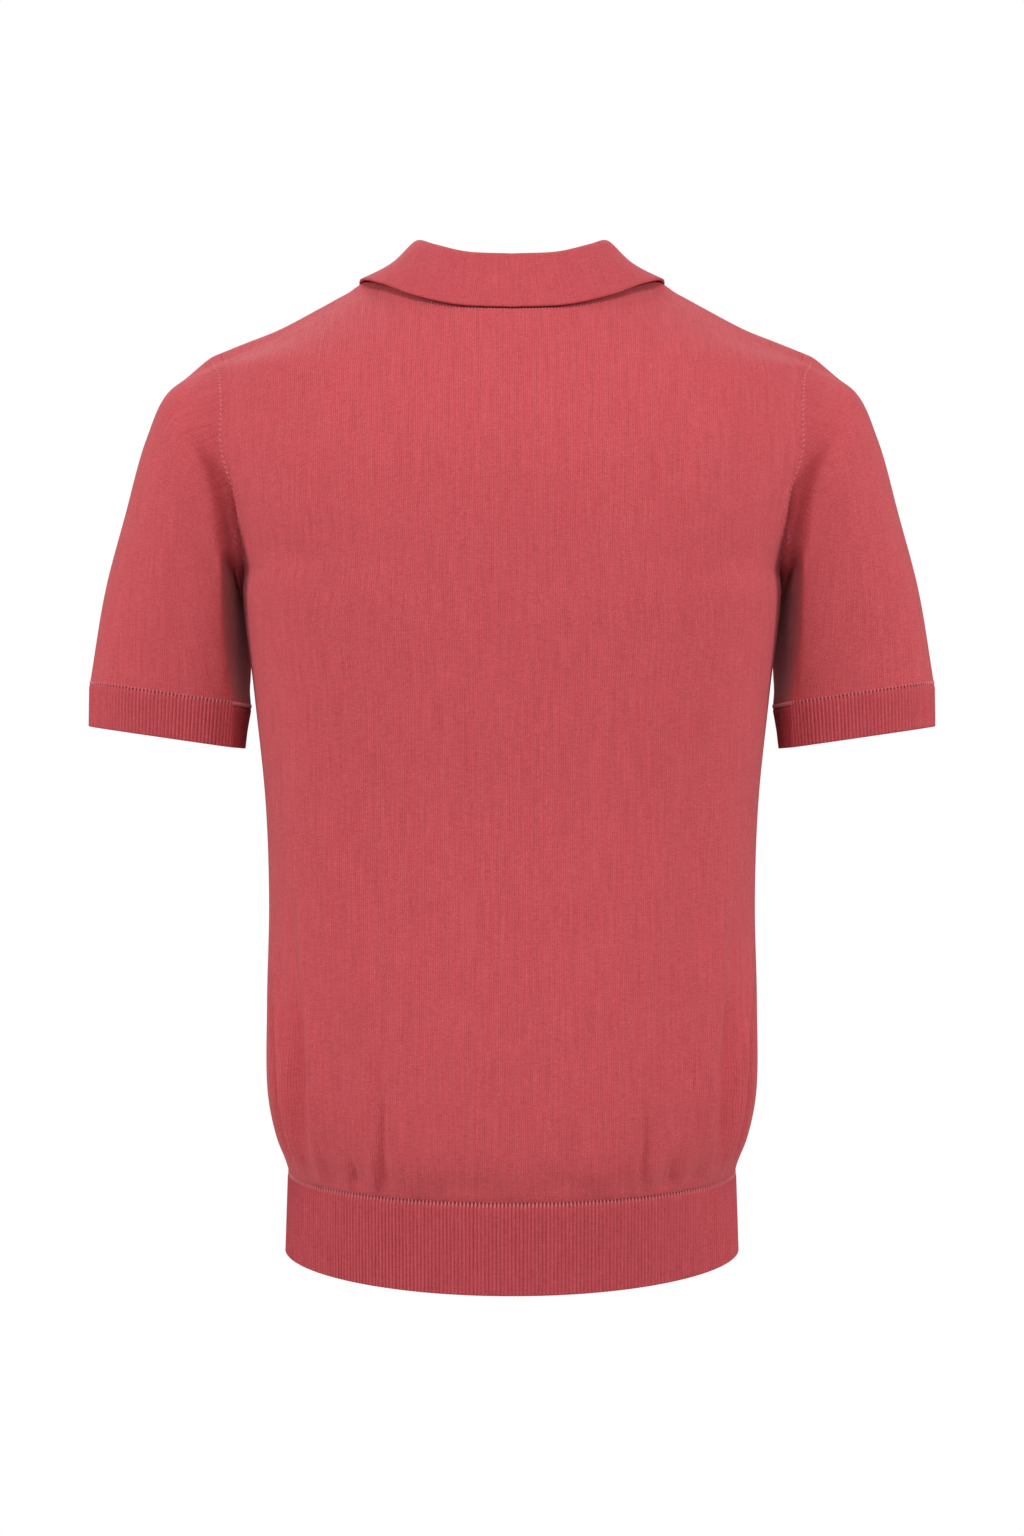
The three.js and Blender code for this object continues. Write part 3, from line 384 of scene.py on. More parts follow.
def superellipse(angle, power):
    across, out = np.sin(angle), np.cos(angle)
    reach = (np.abs(across) ** power + np.abs(out) ** power) ** (-1 / power)
    return across * reach, out * reach


def trunk_row(level, depth):
    def curve(f):
        x, y = superellipse(f * math.pi / 2, level["square"])
        return vectors(level["half"] * x, depth * y, level["z"] - level["sag"] * (1 - x * x))

    return Row(curve)


def yoke_row(row):
    turn, edge, middle = math.radians(row["turn"]), row["edge"], row["middle"]
    end_x, end_y = superellipse(turn, row["square"])

    def curve(f):
        x, y = superellipse(turn * f, row["square"])
        out, sag = (y - end_y) / (1 - end_y), (x / end_x) ** 2
        return vectors(edge[0] * x / end_x, mix(edge[1], middle[0], out), mix(middle[1], edge[2], sag))

    return Row(curve)


RIDGE_LINE = one_line([(r["x"], 0, r["z"]) for r in RIDGE], np.linspace(0, 1, 2000))


def ridge_height(x):
    return np.interp(x, RIDGE_LINE[:, 0], RIDGE_LINE[:, 2])


def neck_point(degrees):
    a = np.radians(degrees)
    c = np.cos(a)
    drop = np.where(c > 0, NECK["drop_back"], NECK["drop_front"])
    y = mix(NECK["front"], NECK["back"], (1 + c) / 2)
    return vectors(NECK["half"] * np.sin(a), y, NECK["top"] - drop * np.abs(c) ** NECK["dip"])


def shoulder_seam(f):
    start = neck_point(NECK_SEAM_ANGLE)
    x = mix(start[0], SHOULDER_TIP[0], f)
    first = ridge_height(start[0]) - start[2]
    last = ridge_height(SHOULDER_TIP[0]) - SHOULDER_TIP[2]
    y = mix(start[1], SHOULDER_TIP[1], f) + SEAM_BOW * np.sin(math.pi * f)
    return vectors(x, y, ridge_height(x) - mix(first, last, f))


def beside_neck(row, angle, share):
    away = mix(np.array(row["middle"], float), np.array(row["corner"], float), np.asarray(share)[..., None])
    return neck_point(angle) + away * NECK_STEP


def below_back_neck(f):
    return beside_neck(BESIDE_BACK_NECK, f * BESIDE_BACK_NECK["angle"], f)


def below_back_seam(f):
    start = below_back_neck(np.array(1.0))
    x = mix(start[0], BACK_SHOULDER_END["x"], f)
    seam_start = neck_point(NECK_SEAM_ANGLE)[0]
    seam = shoulder_seam((x - seam_start) / (SHOULDER_TIP[0] - seam_start))
    behind = mix(start[1], BACK_SHOULDER_END["y"], f) - seam[..., 1]
    at_neck = shoulder_seam((start[0] - seam_start) / (SHOULDER_TIP[0] - seam_start))
    start_fall = (at_neck[2] - start[2]) / (start[1] - at_neck[1])
    return vectors(x, seam[..., 1] + behind, seam[..., 2] - behind * mix(start_fall, BACK_SHOULDER_FALL, f))


def beside_front_neck(f):
    angle = mix(180, BESIDE_FRONT_NECK["angle"], f)
    return beside_neck(BESIDE_FRONT_NECK, angle, np.sin(np.radians(angle)))


def along_ridge(f):
    start = beside_front_neck(np.array(1.0))
    x = mix(start[0], RIDGE[-1]["x"], f)
    return vectors(x, mix(start[1], RIDGE_Y, f), mix(start[2], ridge_height(x), ease(f * 4)))


BACK_ROWS = [
    *(trunk_row(level, level["back"]) for level in TRUNK),
    *map(yoke_row, BACK_YOKE),
    BentRow(below_back_neck, below_back_seam, BACK_NECK_SHARE),
    BentRow(lambda f: neck_point(f * NECK_SEAM_ANGLE), shoulder_seam, BACK_NECK_SHARE),
]
FRONT_ROWS = [
    *(trunk_row(level, -level["front"]) for level in TRUNK),
    *map(yoke_row, FRONT_YOKE),
    BentRow(beside_front_neck, along_ridge, FRONT_NECK_SHARE),
    BentRow(lambda f: neck_point(mix(180, NECK_SEAM_ANGLE, f)), shoulder_seam, FRONT_NECK_SHARE),
]
ARMPIT_ROW = len(TRUNK)
TOP_ROW = len(BACK_ROWS) - 1
LAST_LEVEL_ROW = TOP_ROW - 2  # above this row the rows bend round the neck


def line_rise(points, lines):
    """The height of creases along straight lines, each highest halfway and fading to its ends."""
    rise = np.zeros(points.shape[:-1])
    for start, end, height, width in lines:
        start, along = np.array(start, float), np.array(end, float) - np.array(start, float)
        f = np.clip(((points - start) @ along) / (along @ along), 0, 1)
        off = np.linalg.norm(points - start - f[..., None] * along, axis=-1) / width
        rise += height * np.exp(-off * off) * np.sin(math.pi * mix(0.12, 0.88, f))
    return rise


def pleat_rise(shares, z, half_length, pleats):
    rise = np.zeros(z.shape)
    for toward_middle, toward_side, points in pleats.values():
        line = one_line(points, np.linspace(0, 1, 120))
        order = np.argsort(line[:, 0])
        height, share, out = (line[order, k] for k in range(3))
        for side, (times, shift) in PLEAT_SIDES.items():
            off = (side * shares - np.interp(z, height, share) - shift) * half_length
            off = off / np.where(off < 0, toward_middle, toward_side)
            rise += times * np.interp(z, height, out, left=0, right=0) * np.exp(-off * off)
    return rise


class Panel:
    """The back or the front. Its surface is given at shares (k) of the way across, -1 to 1, and row
    numbers (m, k)."""

    def __init__(self, rows, folds, pleats, creases, facing, neck_share):
        self.rows, self.folds, self.pleats = rows, folds, pleats
        self.facing, self.neck_share = facing, neck_share
        self.totals = np.array([row.total for row in rows])
        self.creases = [((c["x"], c["z"]), (c["to_x"], c["to_z"]), c["rise"], c["width"]) for c in creases]

    def plain(self, shares, rows):
        controls = np.stack([row.at(np.abs(shares)) for row in self.rows])
        points = smooth_line(controls, rows / TOP_ROW)
        points[..., 0] *= np.where(shares < 0, -1, 1)
        clear = self.facing * np.maximum(self.facing * points[..., 1], SEAM_GAP / 2)
        points[..., 1] = np.where(rows < TOP_ROW - 2, clear, points[..., 1])
        return points

    def normal_of(self, surface, shares, rows):
        right, left = np.minimum(shares + 0.003, 1), np.maximum(shares - 0.003, -1)
        across = surface(right, rows) - surface(left, rows)
        up = surface(shares, np.minimum(rows + 0.02, TOP_ROW)) - surface(shares, np.maximum(rows - 0.02, 0))
        return unit(np.cross(up, across)) * self.facing

    def rise(self, points, shares, rows):
        foot = TRUNK[0]["z"] - TRUNK[0]["sag"] * (1 - shares**2)
        z = points[..., 2]
        half_length = np.interp(rows, np.arange(TOP_ROW + 1), self.totals)
        rise = line_rise(points[..., [0, 2]], self.creases)
        rise += pleat_rise(shares, z, half_length, self.pleats)
        rise -= SEAM_DIP["depth"] * np.exp(-(((z - foot) / SEAM_DIP["width"]) ** 2))
        for fold in self.folds:
            climb = (z - foot) / (fold["head"] - foot)
            off = (shares - fold["across"] - fold["lean"] * climb) * half_length / fold["width"]
            shape = np.exp(-off * off) * ease((z - foot) / FOLD_FADE) * (1 - ease(climb))
            rise += fold["rise"] * shape
        return rise

    def surface(self, shares, rows):
        points = self.plain(shares, rows)
        return points + self.normal_of(self.plain, shares, rows) * self.rise(points, shares, rows)[..., None]

    def normal(self, shares, rows):
        return self.normal_of(self.surface, shares, rows)

    def at(self, shares, rows):
        """Points and normals at paired shares and rows."""
        rows = np.asarray(rows, float)[None]
        return self.surface(shares, rows)[0], self.normal(shares, rows)[0]


back = Panel(BACK_ROWS, BACK_FOLDS + BACK_PUCKERS, PLEATS, BACK_CREASES, 1, BACK_NECK_SHARE)
front = Panel(FRONT_ROWS, FRONT_FOLDS + FRONT_PUCKERS, FRONT_PLEATS, FRONT_CREASES, -1, FRONT_NECK_SHARE)


def add_mesh(name, points, faces, corner_uv=None, smooth=True):
    """A new object from points in millimetres and faces with four corners each."""
    mesh = bpy.data.meshes.new(name)
    mesh.vertices.add(len(points))
    mesh.vertices.foreach_set("co", (np.asarray(points) * MM).astype(np.float32).ravel())
    mesh.loops.add(faces.size)
    mesh.loops.foreach_set("vertex_index", faces.astype(np.int32).ravel())
    mesh.polygons.add(len(faces))
    mesh.polygons.foreach_set("loop_start", np.arange(0, faces.size, 4, dtype=np.int32))
    if corner_uv is not None:
        layer = mesh.uv_layers.new(name="Knit")
        layer.data.foreach_set("uv", (corner_uv * MM).astype(np.float32).ravel())
    mesh.update(calc_edges=True)
    mesh.validate()
    mesh.polygons.foreach_set("use_smooth", np.full(len(mesh.polygons), smooth))
    piece = bpy.data.objects.new(name, mesh)
    bpy.context.scene.collection.objects.link(piece)
    return piece


def shell(name, outer, inner, u, v, closed=False, bulge=0.35, slit=None):
    """A closed shell between two sheets of points (m, k, 3). u and v are the cloth's own coordinates, with
    one more column where the sheet closes on itself. slit is a row and two columns: above the row the
    sheet is open between the columns."""
    m, k = outer.shape[:2]
    wide = k + 1 if closed else k
    number = np.arange(m * k).reshape(m, k)
    flat = np.arange(m * wide).reshape(m, wide)
    looped = np.concatenate([number, number[:, :1]], axis=1) if closed else number
    kept = np.ones((m - 1, wide - 1), bool)
    inward = np.zeros_like(outer)
    inward[0] += unit(outer[1] - outer[0])
    inward[-1] += unit(outer[-2] - outer[-1])
    if closed:
        loops = [(looped[0], flat[0]), (looped[-1, ::-1], flat[-1, ::-1])]
    else:
        inward[:, 0] += unit(outer[:, 1] - outer[:, 0])
        inward[:, -1] += unit(outer[:, -2] - outer[:, -1])
        top = number[-1]
        if slit:
            row, first, last = slit
            kept[row:, first:last] = False
            inward[row:, first] += unit(outer[row:, first - 1] - outer[row:, first])
            inward[row:, last] += unit(outer[row:, last + 1] - outer[row:, last])
            inward[row, first : last + 1] += unit(outer[row - 1] - outer[row])[first : last + 1]
            down, up = number[:row:-1, first], number[row + 1 :, last]
            floor_row = number[row, first : last + 1]
            top = np.concatenate([top[:first], down, floor_row, up, top[last + 1 :]])
        rim = np.concatenate([number[0, :-1], number[:-1, -1], top[:0:-1], number[::-1, 0]])
        loops = [(rim, rim)]

    def quads(grid):
        corners = np.stack([grid[:-1, :-1], grid[:-1, 1:], grid[1:, 1:], grid[1:, :-1]], axis=-1)
        return corners[kept]

    faces = [quads(looped), quads(looped)[:, ::-1] + m * k]
    marks = [quads(flat), quads(flat)[:, ::-1]]
    points = [outer.reshape(-1, 3), inner.reshape(-1, 3)]
    for rim, marked in loops:
        base = sum(len(p) for p in points)
        own = rim[:-1]
        middle = (outer.reshape(-1, 3)[own] + inner.reshape(-1, 3)[own]) / 2
        points.append(middle - bulge * unit(inward.reshape(-1, 3)[own]))
        there = np.arange(len(own))
        after = (there + 1) % len(own)
        faces.append(np.stack([rim[1:], rim[:-1], base + there, base + after], axis=-1))
        faces.append(np.stack([base + after, base + there, rim[:-1] + m * k, rim[1:] + m * k], axis=-1))
        marks += [np.stack([marked[1:], marked[:-1], marked[:-1], marked[1:]], axis=-1)] * 2
    points, faces, marks = np.concatenate(points), np.concatenate(faces), np.concatenate(marks)
    a, b, c = (points[faces[:, i]] for i in (0, 1, 2))
    if (a * np.cross(b, c)).sum() < 0:
        faces, marks = faces[:, ::-1], marks[:, ::-1]
    used = np.unique(faces)
    place = np.zeros(len(points), int)
    place[used] = np.arange(len(used))
    uv = np.stack([u, v], axis=-1).reshape(-1, 2)[marks]
    return add_mesh(name, points[used], place[faces], uv.reshape(-1, 2))


def climbed(points):
    """How far along its column each point of a sheet lies."""
    steps = np.linalg.norm(np.diff(points, axis=0), axis=-1)
    return np.concatenate([np.zeros((1, points.shape[1])), np.cumsum(steps, axis=0)])


# Back and front
PANEL_COLUMNS = 204
# How close the columns stand, by share of the way to the side
COLUMN_DENSITY = ((0, 1), (0.28, 1), (0.33, 2), (0.83, 2), (0.88, 1), (1, 1))
PANEL_ROW = 3.1  # height of one row of faces
EDGE = 0.7  # width of the narrow faces along an edge


def panel_rows(cloth):
    """Row numbers about PANEL_ROW apart, with a narrow one at each end."""
    fine = np.linspace(0, TOP_ROW, 1501)
    line = cloth.plain(np.array([0.25]), fine[:, None])[:, 0]
    reach = np.concatenate([[0], np.cumsum(np.linalg.norm(np.diff(line, axis=0), axis=1))])
    count = round(reach[-1] / PANEL_ROW)
    middle = np.linspace(0, reach[-1], count + 1)[1:-1]
    stops = np.concatenate([[0, EDGE], middle, [reach[-1] - EDGE, reach[-1]]])
    rows = np.interp(stops, reach, fine)
    nearest = np.argmin(np.abs(rows - ARMPIT_ROW))
    rows[nearest] = ARMPIT_ROW
    return rows


def shared_direction(cloth, other, shares, rows, normals):
    """The way each point's wall is thick. At a seam it is shared with the other panel."""
    made = normals.copy()
    side = np.abs(shares)
    on_seam = side >= cloth.neck_share - 1e-6
    along = (side[on_seam] - cloth.neck_share) / (1 - cloth.neck_share)
    there = np.sign(shares[on_seam]) * mix(other.neck_share, 1, along)
    across = other.normal(there, np.full((1, on_seam.sum()), float(TOP_ROW)))[0]
    for row, weight in ((-1, 1), (-2, 0.8), (-3, 0.4)):
        made[row, on_seam] = unit(normals[row, on_seam] + weight * across)
    low = rows <= ARMPIT_ROW
    for column in (0, 1, -2, -1):
        made[low, column, 1] *= 0 if column in (0, -1) else 0.3
    return unit(made)


def column_shares():
    """Shares across a panel, closer together where the pleats are."""
    reach, density = np.transpose(COLUMN_DENSITY)
    fine = np.linspace(0, 1, 401)
    count = np.cumsum(np.interp(fine, reach, density))
    count = (count - count[0]) / (count[-1] - count[0])
    half = np.interp(np.linspace(0, 1, PANEL_COLUMNS // 2 + 1), count, fine)
    return np.concatenate([-half[:0:-1], half])


def panel_shell(name, cloth, other, opened=False):
    """The back or the front. The front is open down its middle as far as the slit goes."""
    rows = panel_rows(cloth)
    shares = column_shares()
    narrow = EDGE / cloth.totals[4]
    shares = np.concatenate([[-1, -1 + narrow], shares[1:-1], [1 - narrow, 1]])
    grid = np.repeat(rows[:, None], len(shares), axis=1)
    outer = cloth.surface(shares, grid)
    normals = cloth.normal(shares, grid)
    inner = outer - JERSEY * shared_direction(cloth, other, shares, rows, normals)
    # The edges stop short of their seams.
    for sheet in (outer, inner):
        sheet[-1] += unit(outer[-3] - outer[-1]) * SEAM_GAP * 0.6
        sheet[0] += unit(outer[2] - outer[0]) * SEAM_GAP * 0.3
    above = rows > ARMPIT_ROW
    for edge, near in ((0, 2), (-1, -3)):
        step = unit(outer[above, near] - outer[above, edge]) * SEAM_GAP / 2
        outer[above, edge] += step
        inner[above, edge] += step
    # Across the panel the stitches are counted from its middle, so that their columns run straight up.
    level = np.minimum(rows, LAST_LEVEL_ROW)[:, None]
    u = shares * np.interp(level, np.arange(TOP_ROW + 1), cloth.totals)
    last = cloth.plain(shares, np.full((1, len(shares)), float(LAST_LEVEL_ROW)))[0]
    bent = rows > LAST_LEVEL_ROW
    u[bent] = np.interp(outer[bent, :, 0], last[:, 0], shares * cloth.totals[LAST_LEVEL_ROW])
    slit = None
    if opened:
        middle = np.argmin(np.abs(shares))
        aside = np.argmin(np.abs(shares[middle:] - SLIT["half"] / cloth.totals[ARMPIT_ROW]))
        slit = (np.argmin(np.abs(outer[:, middle, 2] - SLIT["bottom"])), middle - aside, middle + aside)
    return shell(name, outer, inner, u, climbed(outer), slit=slit)


# Sleeves
SLEEVE_ROWS = 84
ARMHOLE_STEP = 3.0
TRUNK_LEVELS = [
    *TRUNK,
    {
        **TRUNK[-1],
        "z": BACK_YOKE[0]["edge"][2],
        "half": BACK_YOKE[0]["edge"][0],
        "back": BACK_YOKE[0]["middle"][0],
        "front": -FRONT_YOKE[0]["middle"][0],
    },
]


def trunk_side(y, z):
    """How far out the trunk's side stands at a height and a depth."""
    heights = [level["z"] for level in TRUNK_LEVELS]
    half, back_reach, front_reach, square = (
        np.interp(z, heights, [level[name] for level in TRUNK_LEVELS])
        for name in ("half", "back", "front", "square")
    )
    depth = np.where(y > 0, back_reach, front_reach)
    share = np.clip(1 - np.abs(y / depth) ** square, 0, 1)
    return half * share ** (1 / square)


def armhole_places():
    """Which panel and row each column of a sleeve starts from: up the back and down the front."""
    places = []
    for cloth in (back, front):
        fine = np.linspace(ARMPIT_ROW, TOP_ROW, 400)
        line = cloth.surface(np.array([1.0]), fine[:, None])[:, 0]
        reach = np.concatenate([[0], np.cumsum(np.linalg.norm(np.diff(line, axis=0), axis=1))])
        stops = np.linspace(0, reach[-1], round(reach[-1] / ARMHOLE_STEP) + 1)
        places.append(np.interp(stops, reach, fine))
    return places[0], places[1][::-1][1:-1]


def sleeve_ring(ring, side):
    """A ring round the sleeve, by the share of the way round from the underarm up the back."""

    def curve(f):
        angle = f * 2 * math.pi
        to_top, to_back = -np.cos(angle), np.sin(angle)
        under = np.where(to_back > 0, SLEEVE_SQUARE["under_back"], SLEEVE_SQUARE["under_front"])
        power = np.where(to_top > 0, SLEEVE_SQUARE["outer"], under)
        reach = (np.abs(to_top) ** power + np.abs(to_back) ** power) ** (-1 / power)
        y = to_back * reach * np.where(to_back > 0, ring["back"], -ring["front"])
        (top_x, top_z), (under_x, under_z) = ring["top"], ring["under"]
        x = np.maximum(mix(under_x, top_x, (1 + to_top * reach) / 2), ring["face"] + ring["slant"] * y)
        return vectors(side * x, y, mix(under_z, top_z, (x - under_x) / (top_x - under_x)))

    return Row(curve)


def ring_facing(ring, side):
    (top_x, top_z), (under_x, under_z) = ring["top"], ring["under"]
    return unit(np.array([side * (top_z - under_z), 0, under_x - top_x], float))


def sleeve_fold_rise(x, y, z):
    """How far the sleeve's deepest fold lifts its surface: a valley with a lip along one side."""
    best = np.full(x.shape, np.inf)
    rise = np.zeros(x.shape)
    shape = SLEEVE_FOLD_SHAPE
    for a, b in zip(SLEEVE_FOLD[:-1], SLEEVE_FOLD[1:]):
        dx, dz = b["x"] - a["x"], b["z"] - a["z"]
        f = np.clip(((x - a["x"]) * dx + (z - a["z"]) * dz) / (dx * dx + dz * dz), 0, 1)
        ox, oz = x - mix(a["x"], b["x"], f), z - mix(a["z"], b["z"], f)
        off = np.hypot(ox, oz) * np.where(oz * dx - ox * dz < 0, -1, 1)
        depth = mix(a["depth"], b["depth"], f)
        valley = np.exp(-((off / shape["width"]) ** 2))
        lip = shape["lip"] * np.exp(-(((off - shape["lip_away"]) / shape["width"]) ** 2))
        nearer = np.abs(off) < np.abs(best)
        best = np.where(nearer, off, best)
        rise = np.where(nearer, depth * (lip - valley), rise)
    return np.where(y < 0, 0, rise)


class Sleeve:
    """A sleeve. Its surface is given for every column at once, at rows (m) of the way along."""

    def __init__(self, side):
        self.side = side
        points, normals, outs, leads = [], [], [], []
        for cloth, rows in zip((back, front), armhole_places()):
            p, normal = cloth.at(np.full(len(rows), float(side)), rows)
            near = cloth.at(np.full(len(rows), side * 0.98), rows)[0]
            low = 1 - ease((rows - ARMPIT_ROW) / 2.5)
            way = np.array([side * UNDERARM_WAY[0], UNDERARM_WAY[1], UNDERARM_WAY[2]])
            outs.append(unit(mix(unit(p - near), way, mix(0.2, 0.9, low)[:, None])))
            points.append(p)
            normals.append(normal)
            leads.append(mix(SLEEVE_LEAD["low"], SLEEVE_LEAD["top"], ease((rows - TOP_ROW) / 2.5 + 1)))
        start, self.start_normal = np.concatenate(points), np.concatenate(normals)
        out, lead = np.concatenate(outs), np.concatenate(leads)[:, None]
        steps = np.linalg.norm(np.roll(start, -1, axis=0) - start, axis=1)
        self.around = np.concatenate([[0], np.cumsum(steps)[:-1]]) / steps.sum()
        rings = [sleeve_ring(ring, side).at(self.around) for ring in SLEEVE]
        self.controls = np.stack([start + out * SEAM_GAP / 2, start + out * lead, *rings])
        self.creases = []
        for c in SLEEVE_CREASES:
            ends = [np.array(c[name], float) * (side, 1, 1) for name in ("at", "to")]
            self.creases.append((*ends, c["rise"], c["width"]))

    def plain(self, along):
        grid = np.repeat(np.asarray(along, float)[:, None], len(self.around), axis=1)
        points = smooth_line(self.controls, grid)
        clearance = mix(0, UNDERARM_CLEARANCE, ease(grid / 0.12))
        side = trunk_side(points[..., 1], points[..., 2]) + clearance
        pushed = self.side * np.maximum(self.side * points[..., 0], side)
        low = points[..., 2] < BACK_YOKE[1]["edge"][2]
        points[..., 0] = np.where(low, pushed, points[..., 0])
        return points

    def normal_of(self, surface, along):
        here = surface(along)
        ring = np.roll(here, -1, axis=1) - np.roll(here, 1, axis=1)
        down = surface(np.minimum(along + 0.01, 1)) - surface(np.maximum(along - 0.01, 0))
        return unit(np.cross(ring, down)) * self.side

    def surface(self, along):
        points = self.plain(along)
        rise = sleeve_fold_rise(self.side * points[..., 0], points[..., 1], points[..., 2])
        rise = (rise + line_rise(points, self.creases)) * ease(along / 0.05)[:, None]
        rise *= ease((1 - along) / 0.04)[:, None]
        return points + self.normal_of(self.plain, along) * rise[..., None]

    def shell(self, name):
        fine = np.linspace(0, 1, 601)
        middle = len(self.around) // 2
        line = self.plain(fine)[:, middle]
        reach = np.concatenate([[0], np.cumsum(np.linalg.norm(np.diff(line, axis=0), axis=1))])
        stops = np.linspace(0, reach[-1], SLEEVE_ROWS + 1)
        stops = np.concatenate([[0, EDGE], stops[1:-1], [reach[-1] - EDGE, reach[-1]]])
        along = np.interp(stops, reach, fine)
        outer = self.surface(along)
        normals = self.normal_of(self.surface, along)
        dot = (normals[0] * self.start_normal).sum(-1, keepdims=True)
        normals[0] = unit(mix(normals[0], self.start_normal, ease((dot - 0.2) / 0.5)))
        facing = ring_facing(SLEEVE[-1], self.side)
        normals[-1] = unit(normals[-1] - facing * (normals[-1] @ facing)[:, None])
        inner = outer - JERSEY * normals
        loop = np.concatenate([outer, outer[:, :1]], axis=1)
        steps = np.linalg.norm(np.diff(loop, axis=1), axis=-1)
        u = np.concatenate([np.zeros((len(along), 1)), np.cumsum(steps, axis=1)], axis=1)
        v = climbed(loop)
        return shell(name, outer, inner, (u - u[:, middle : middle + 1]) * self.side, v[-1] - v, closed=True)


# Ribbed pieces
FACES_PER_RIB = 6
RIB_START = 3.0  # a rib reaches its full height this far from the seam


def ribbed_shell(name, lines, normals, length, closed):
    """A ribbed band through lines of points, from its seam down to its hem. lines(f) gives the lines and
    normals(f) the way out, at shares f of the way round."""
    ribs = round(length / RIB_PITCH)
    count = ribs * FACES_PER_RIB
    shares = np.arange(count + (0 if closed else 1)) / count
    outer, out = lines(shares), normals(shares)
    phase = shares * ribs
    ridge = (0.5 - 0.5 * np.cos(2 * math.pi * phase)) ** 0.6
    reverse = (0.5 + 0.5 * np.cos(2 * math.pi * phase)) ** 0.6
    down = climbed(outer)
    grown = ease(down / RIB_START)
    dip = SEAM_DIP["depth"] * np.exp(-((down / SEAM_DIP["width"]) ** 2))
    sheet = outer + out * (RIB_RISE * ridge * grown - dip)[..., None]
    lining = outer - out * (dip + RIB_BASE + 0.7 * RIB_RISE * (reverse - 1) * grown)[..., None]
    wide = count + 1
    u = np.repeat((np.arange(wide) / count * length)[None], len(outer), axis=0)
    v = np.concatenate([down, down[:, :1]], axis=1) if closed else down
    return shell(name, sheet, lining, u, v, closed=closed, bulge=0.45)


def cuff_shell(name, side):
    top, hem = sleeve_ring(SLEEVE[-1], side), sleeve_ring(CUFF_HEM, side)
    down = unit(hem.at(np.array([0.0])) - top.at(np.array([0.0])))[0]
    facing = ring_facing(SLEEVE[-1], side)
    stops = np.array([0, 0.025, 0.06, 0.11, 0.2, 0.35, 0.5, 0.65, 0.8, 0.93, 0.975, 1])

    def lines(f):
        start, end = top.at(f) + down * SEAM_GAP, hem.at(f)
        return start + (end - start) * stops[:, None, None]

    def normals(f):
        ring = top.at((f + 0.004) % 1) - top.at((f + 0.996) % 1)
        out = np.cross(ring, down) * side
        return unit(out - facing * (out @ facing)[:, None])

    return ribbed_shell(name, lines, normals, hem.total, True)


def band_rows(facing):
    seam = TRUNK[0]

    def row(half, depth, square, height):
        def curve(f):
            x, y = superellipse((f * 2 - 1) * math.pi / 2, square)
            return vectors(half * x, facing * depth * y, height(f, x))

        return Row(curve)

    top_depth, hem_depth, dip = (
        (seam["back"], BAND["back"], BAND_HEM["dip_back"])
        if facing > 0
        else (seam["front"], BAND["front"], BAND_HEM["dip_front"])
    )
    top = row(
        seam["half"], top_depth, seam["square"], lambda f, x: seam["z"] - SEAM_GAP - seam["sag"] * (1 - x * x)
    )
    hem = row(
        BAND["half"],
        hem_depth,
        BAND["square"],
        lambda f, x: BAND_HEM["z"] - dip * np.sin(math.pi * f) ** 1.5,
    )
    return top, hem


def band_shell(name, facing):
    top, hem = band_rows(facing)
    trim = SEAM_GAP / 2 / top.total
    stops = np.array([0, 0.012, 0.03, 0.055, 0.1, 0.2, 0.33, 0.46, 0.59, 0.72, 0.85, 0.95, 0.985, 1])

    def lines(f):
        g = mix(trim, 1 - trim, f)
        return top.at(g) + (hem.at(g) - top.at(g)) * stops[:, None, None]

    def normals(f):
        g = mix(trim, 1 - trim, f)
        along = top.at(np.minimum(g + 0.002, 1)) - top.at(np.maximum(g - 0.002, 0))
        return unit(np.cross(np.array([0.0, 0, 1]), along) * facing)

    return ribbed_shell(name, lines, normals, hem.total, False)


# Collar
COLLAR_STATIONS = 18  # to each row of the table
COLLAR_STOPS = np.concatenate(
    [
        [0, 0.01],
        np.linspace(0.03, 0.38, 12),
        np.linspace(0.4, 0.62, 18),
        np.linspace(0.66, 0.95, 13),
        [0.975, 0.99, 1],
    ]
)


def collar_sheet():
    last = len(COLLAR) - 1
    ordered = np.linspace(-last, last, 2 * last * COLLAR_STATIONS + 1)
    k = np.abs(ordered)
    side = vectors(np.where(ordered < 0, -1, 1), 1, 1)
    value = {name: np.interp(k, range(last + 1), [c[name] for c in COLLAR]) for name in ("angle", "bow")}
    seam = neck_point(value["angle"]) * side + (0, 0, COLLAR_LIFT)
    fold = one_line([c["fold"] for c in COLLAR], k / last) * side
    edge = one_line([c["edge"] for c in COLLAR], k / last) * side
    up = unit(fold - seam)
    leaf = edge - fold
    out = unit(leaf - up * (leaf * up).sum(-1, keepdims=True))
    lift = unit(up * 0.45 + out)
    controls = np.stack(
        [
            seam,
            mix(seam, fold, 0.5) - out * STAND_HOLLOW,
            fold - up * COLLAR_ROLL - out * COLLAR_ROLL * 0.6,
            fold,
            fold - up * COLLAR_ROLL * 0.7 + out * COLLAR_ROLL,
            mix(fold, edge, 0.5) + lift * value["bow"][:, None],
            edge,
        ]
    )
    return smooth_line(controls, np.repeat(COLLAR_STOPS[:, None], len(ordered), axis=1))


def sheet_normals(sheet):
    across = np.gradient(sheet, axis=0)
    along = np.gradient(sheet, axis=1)
    return unit(np.cross(across, along))


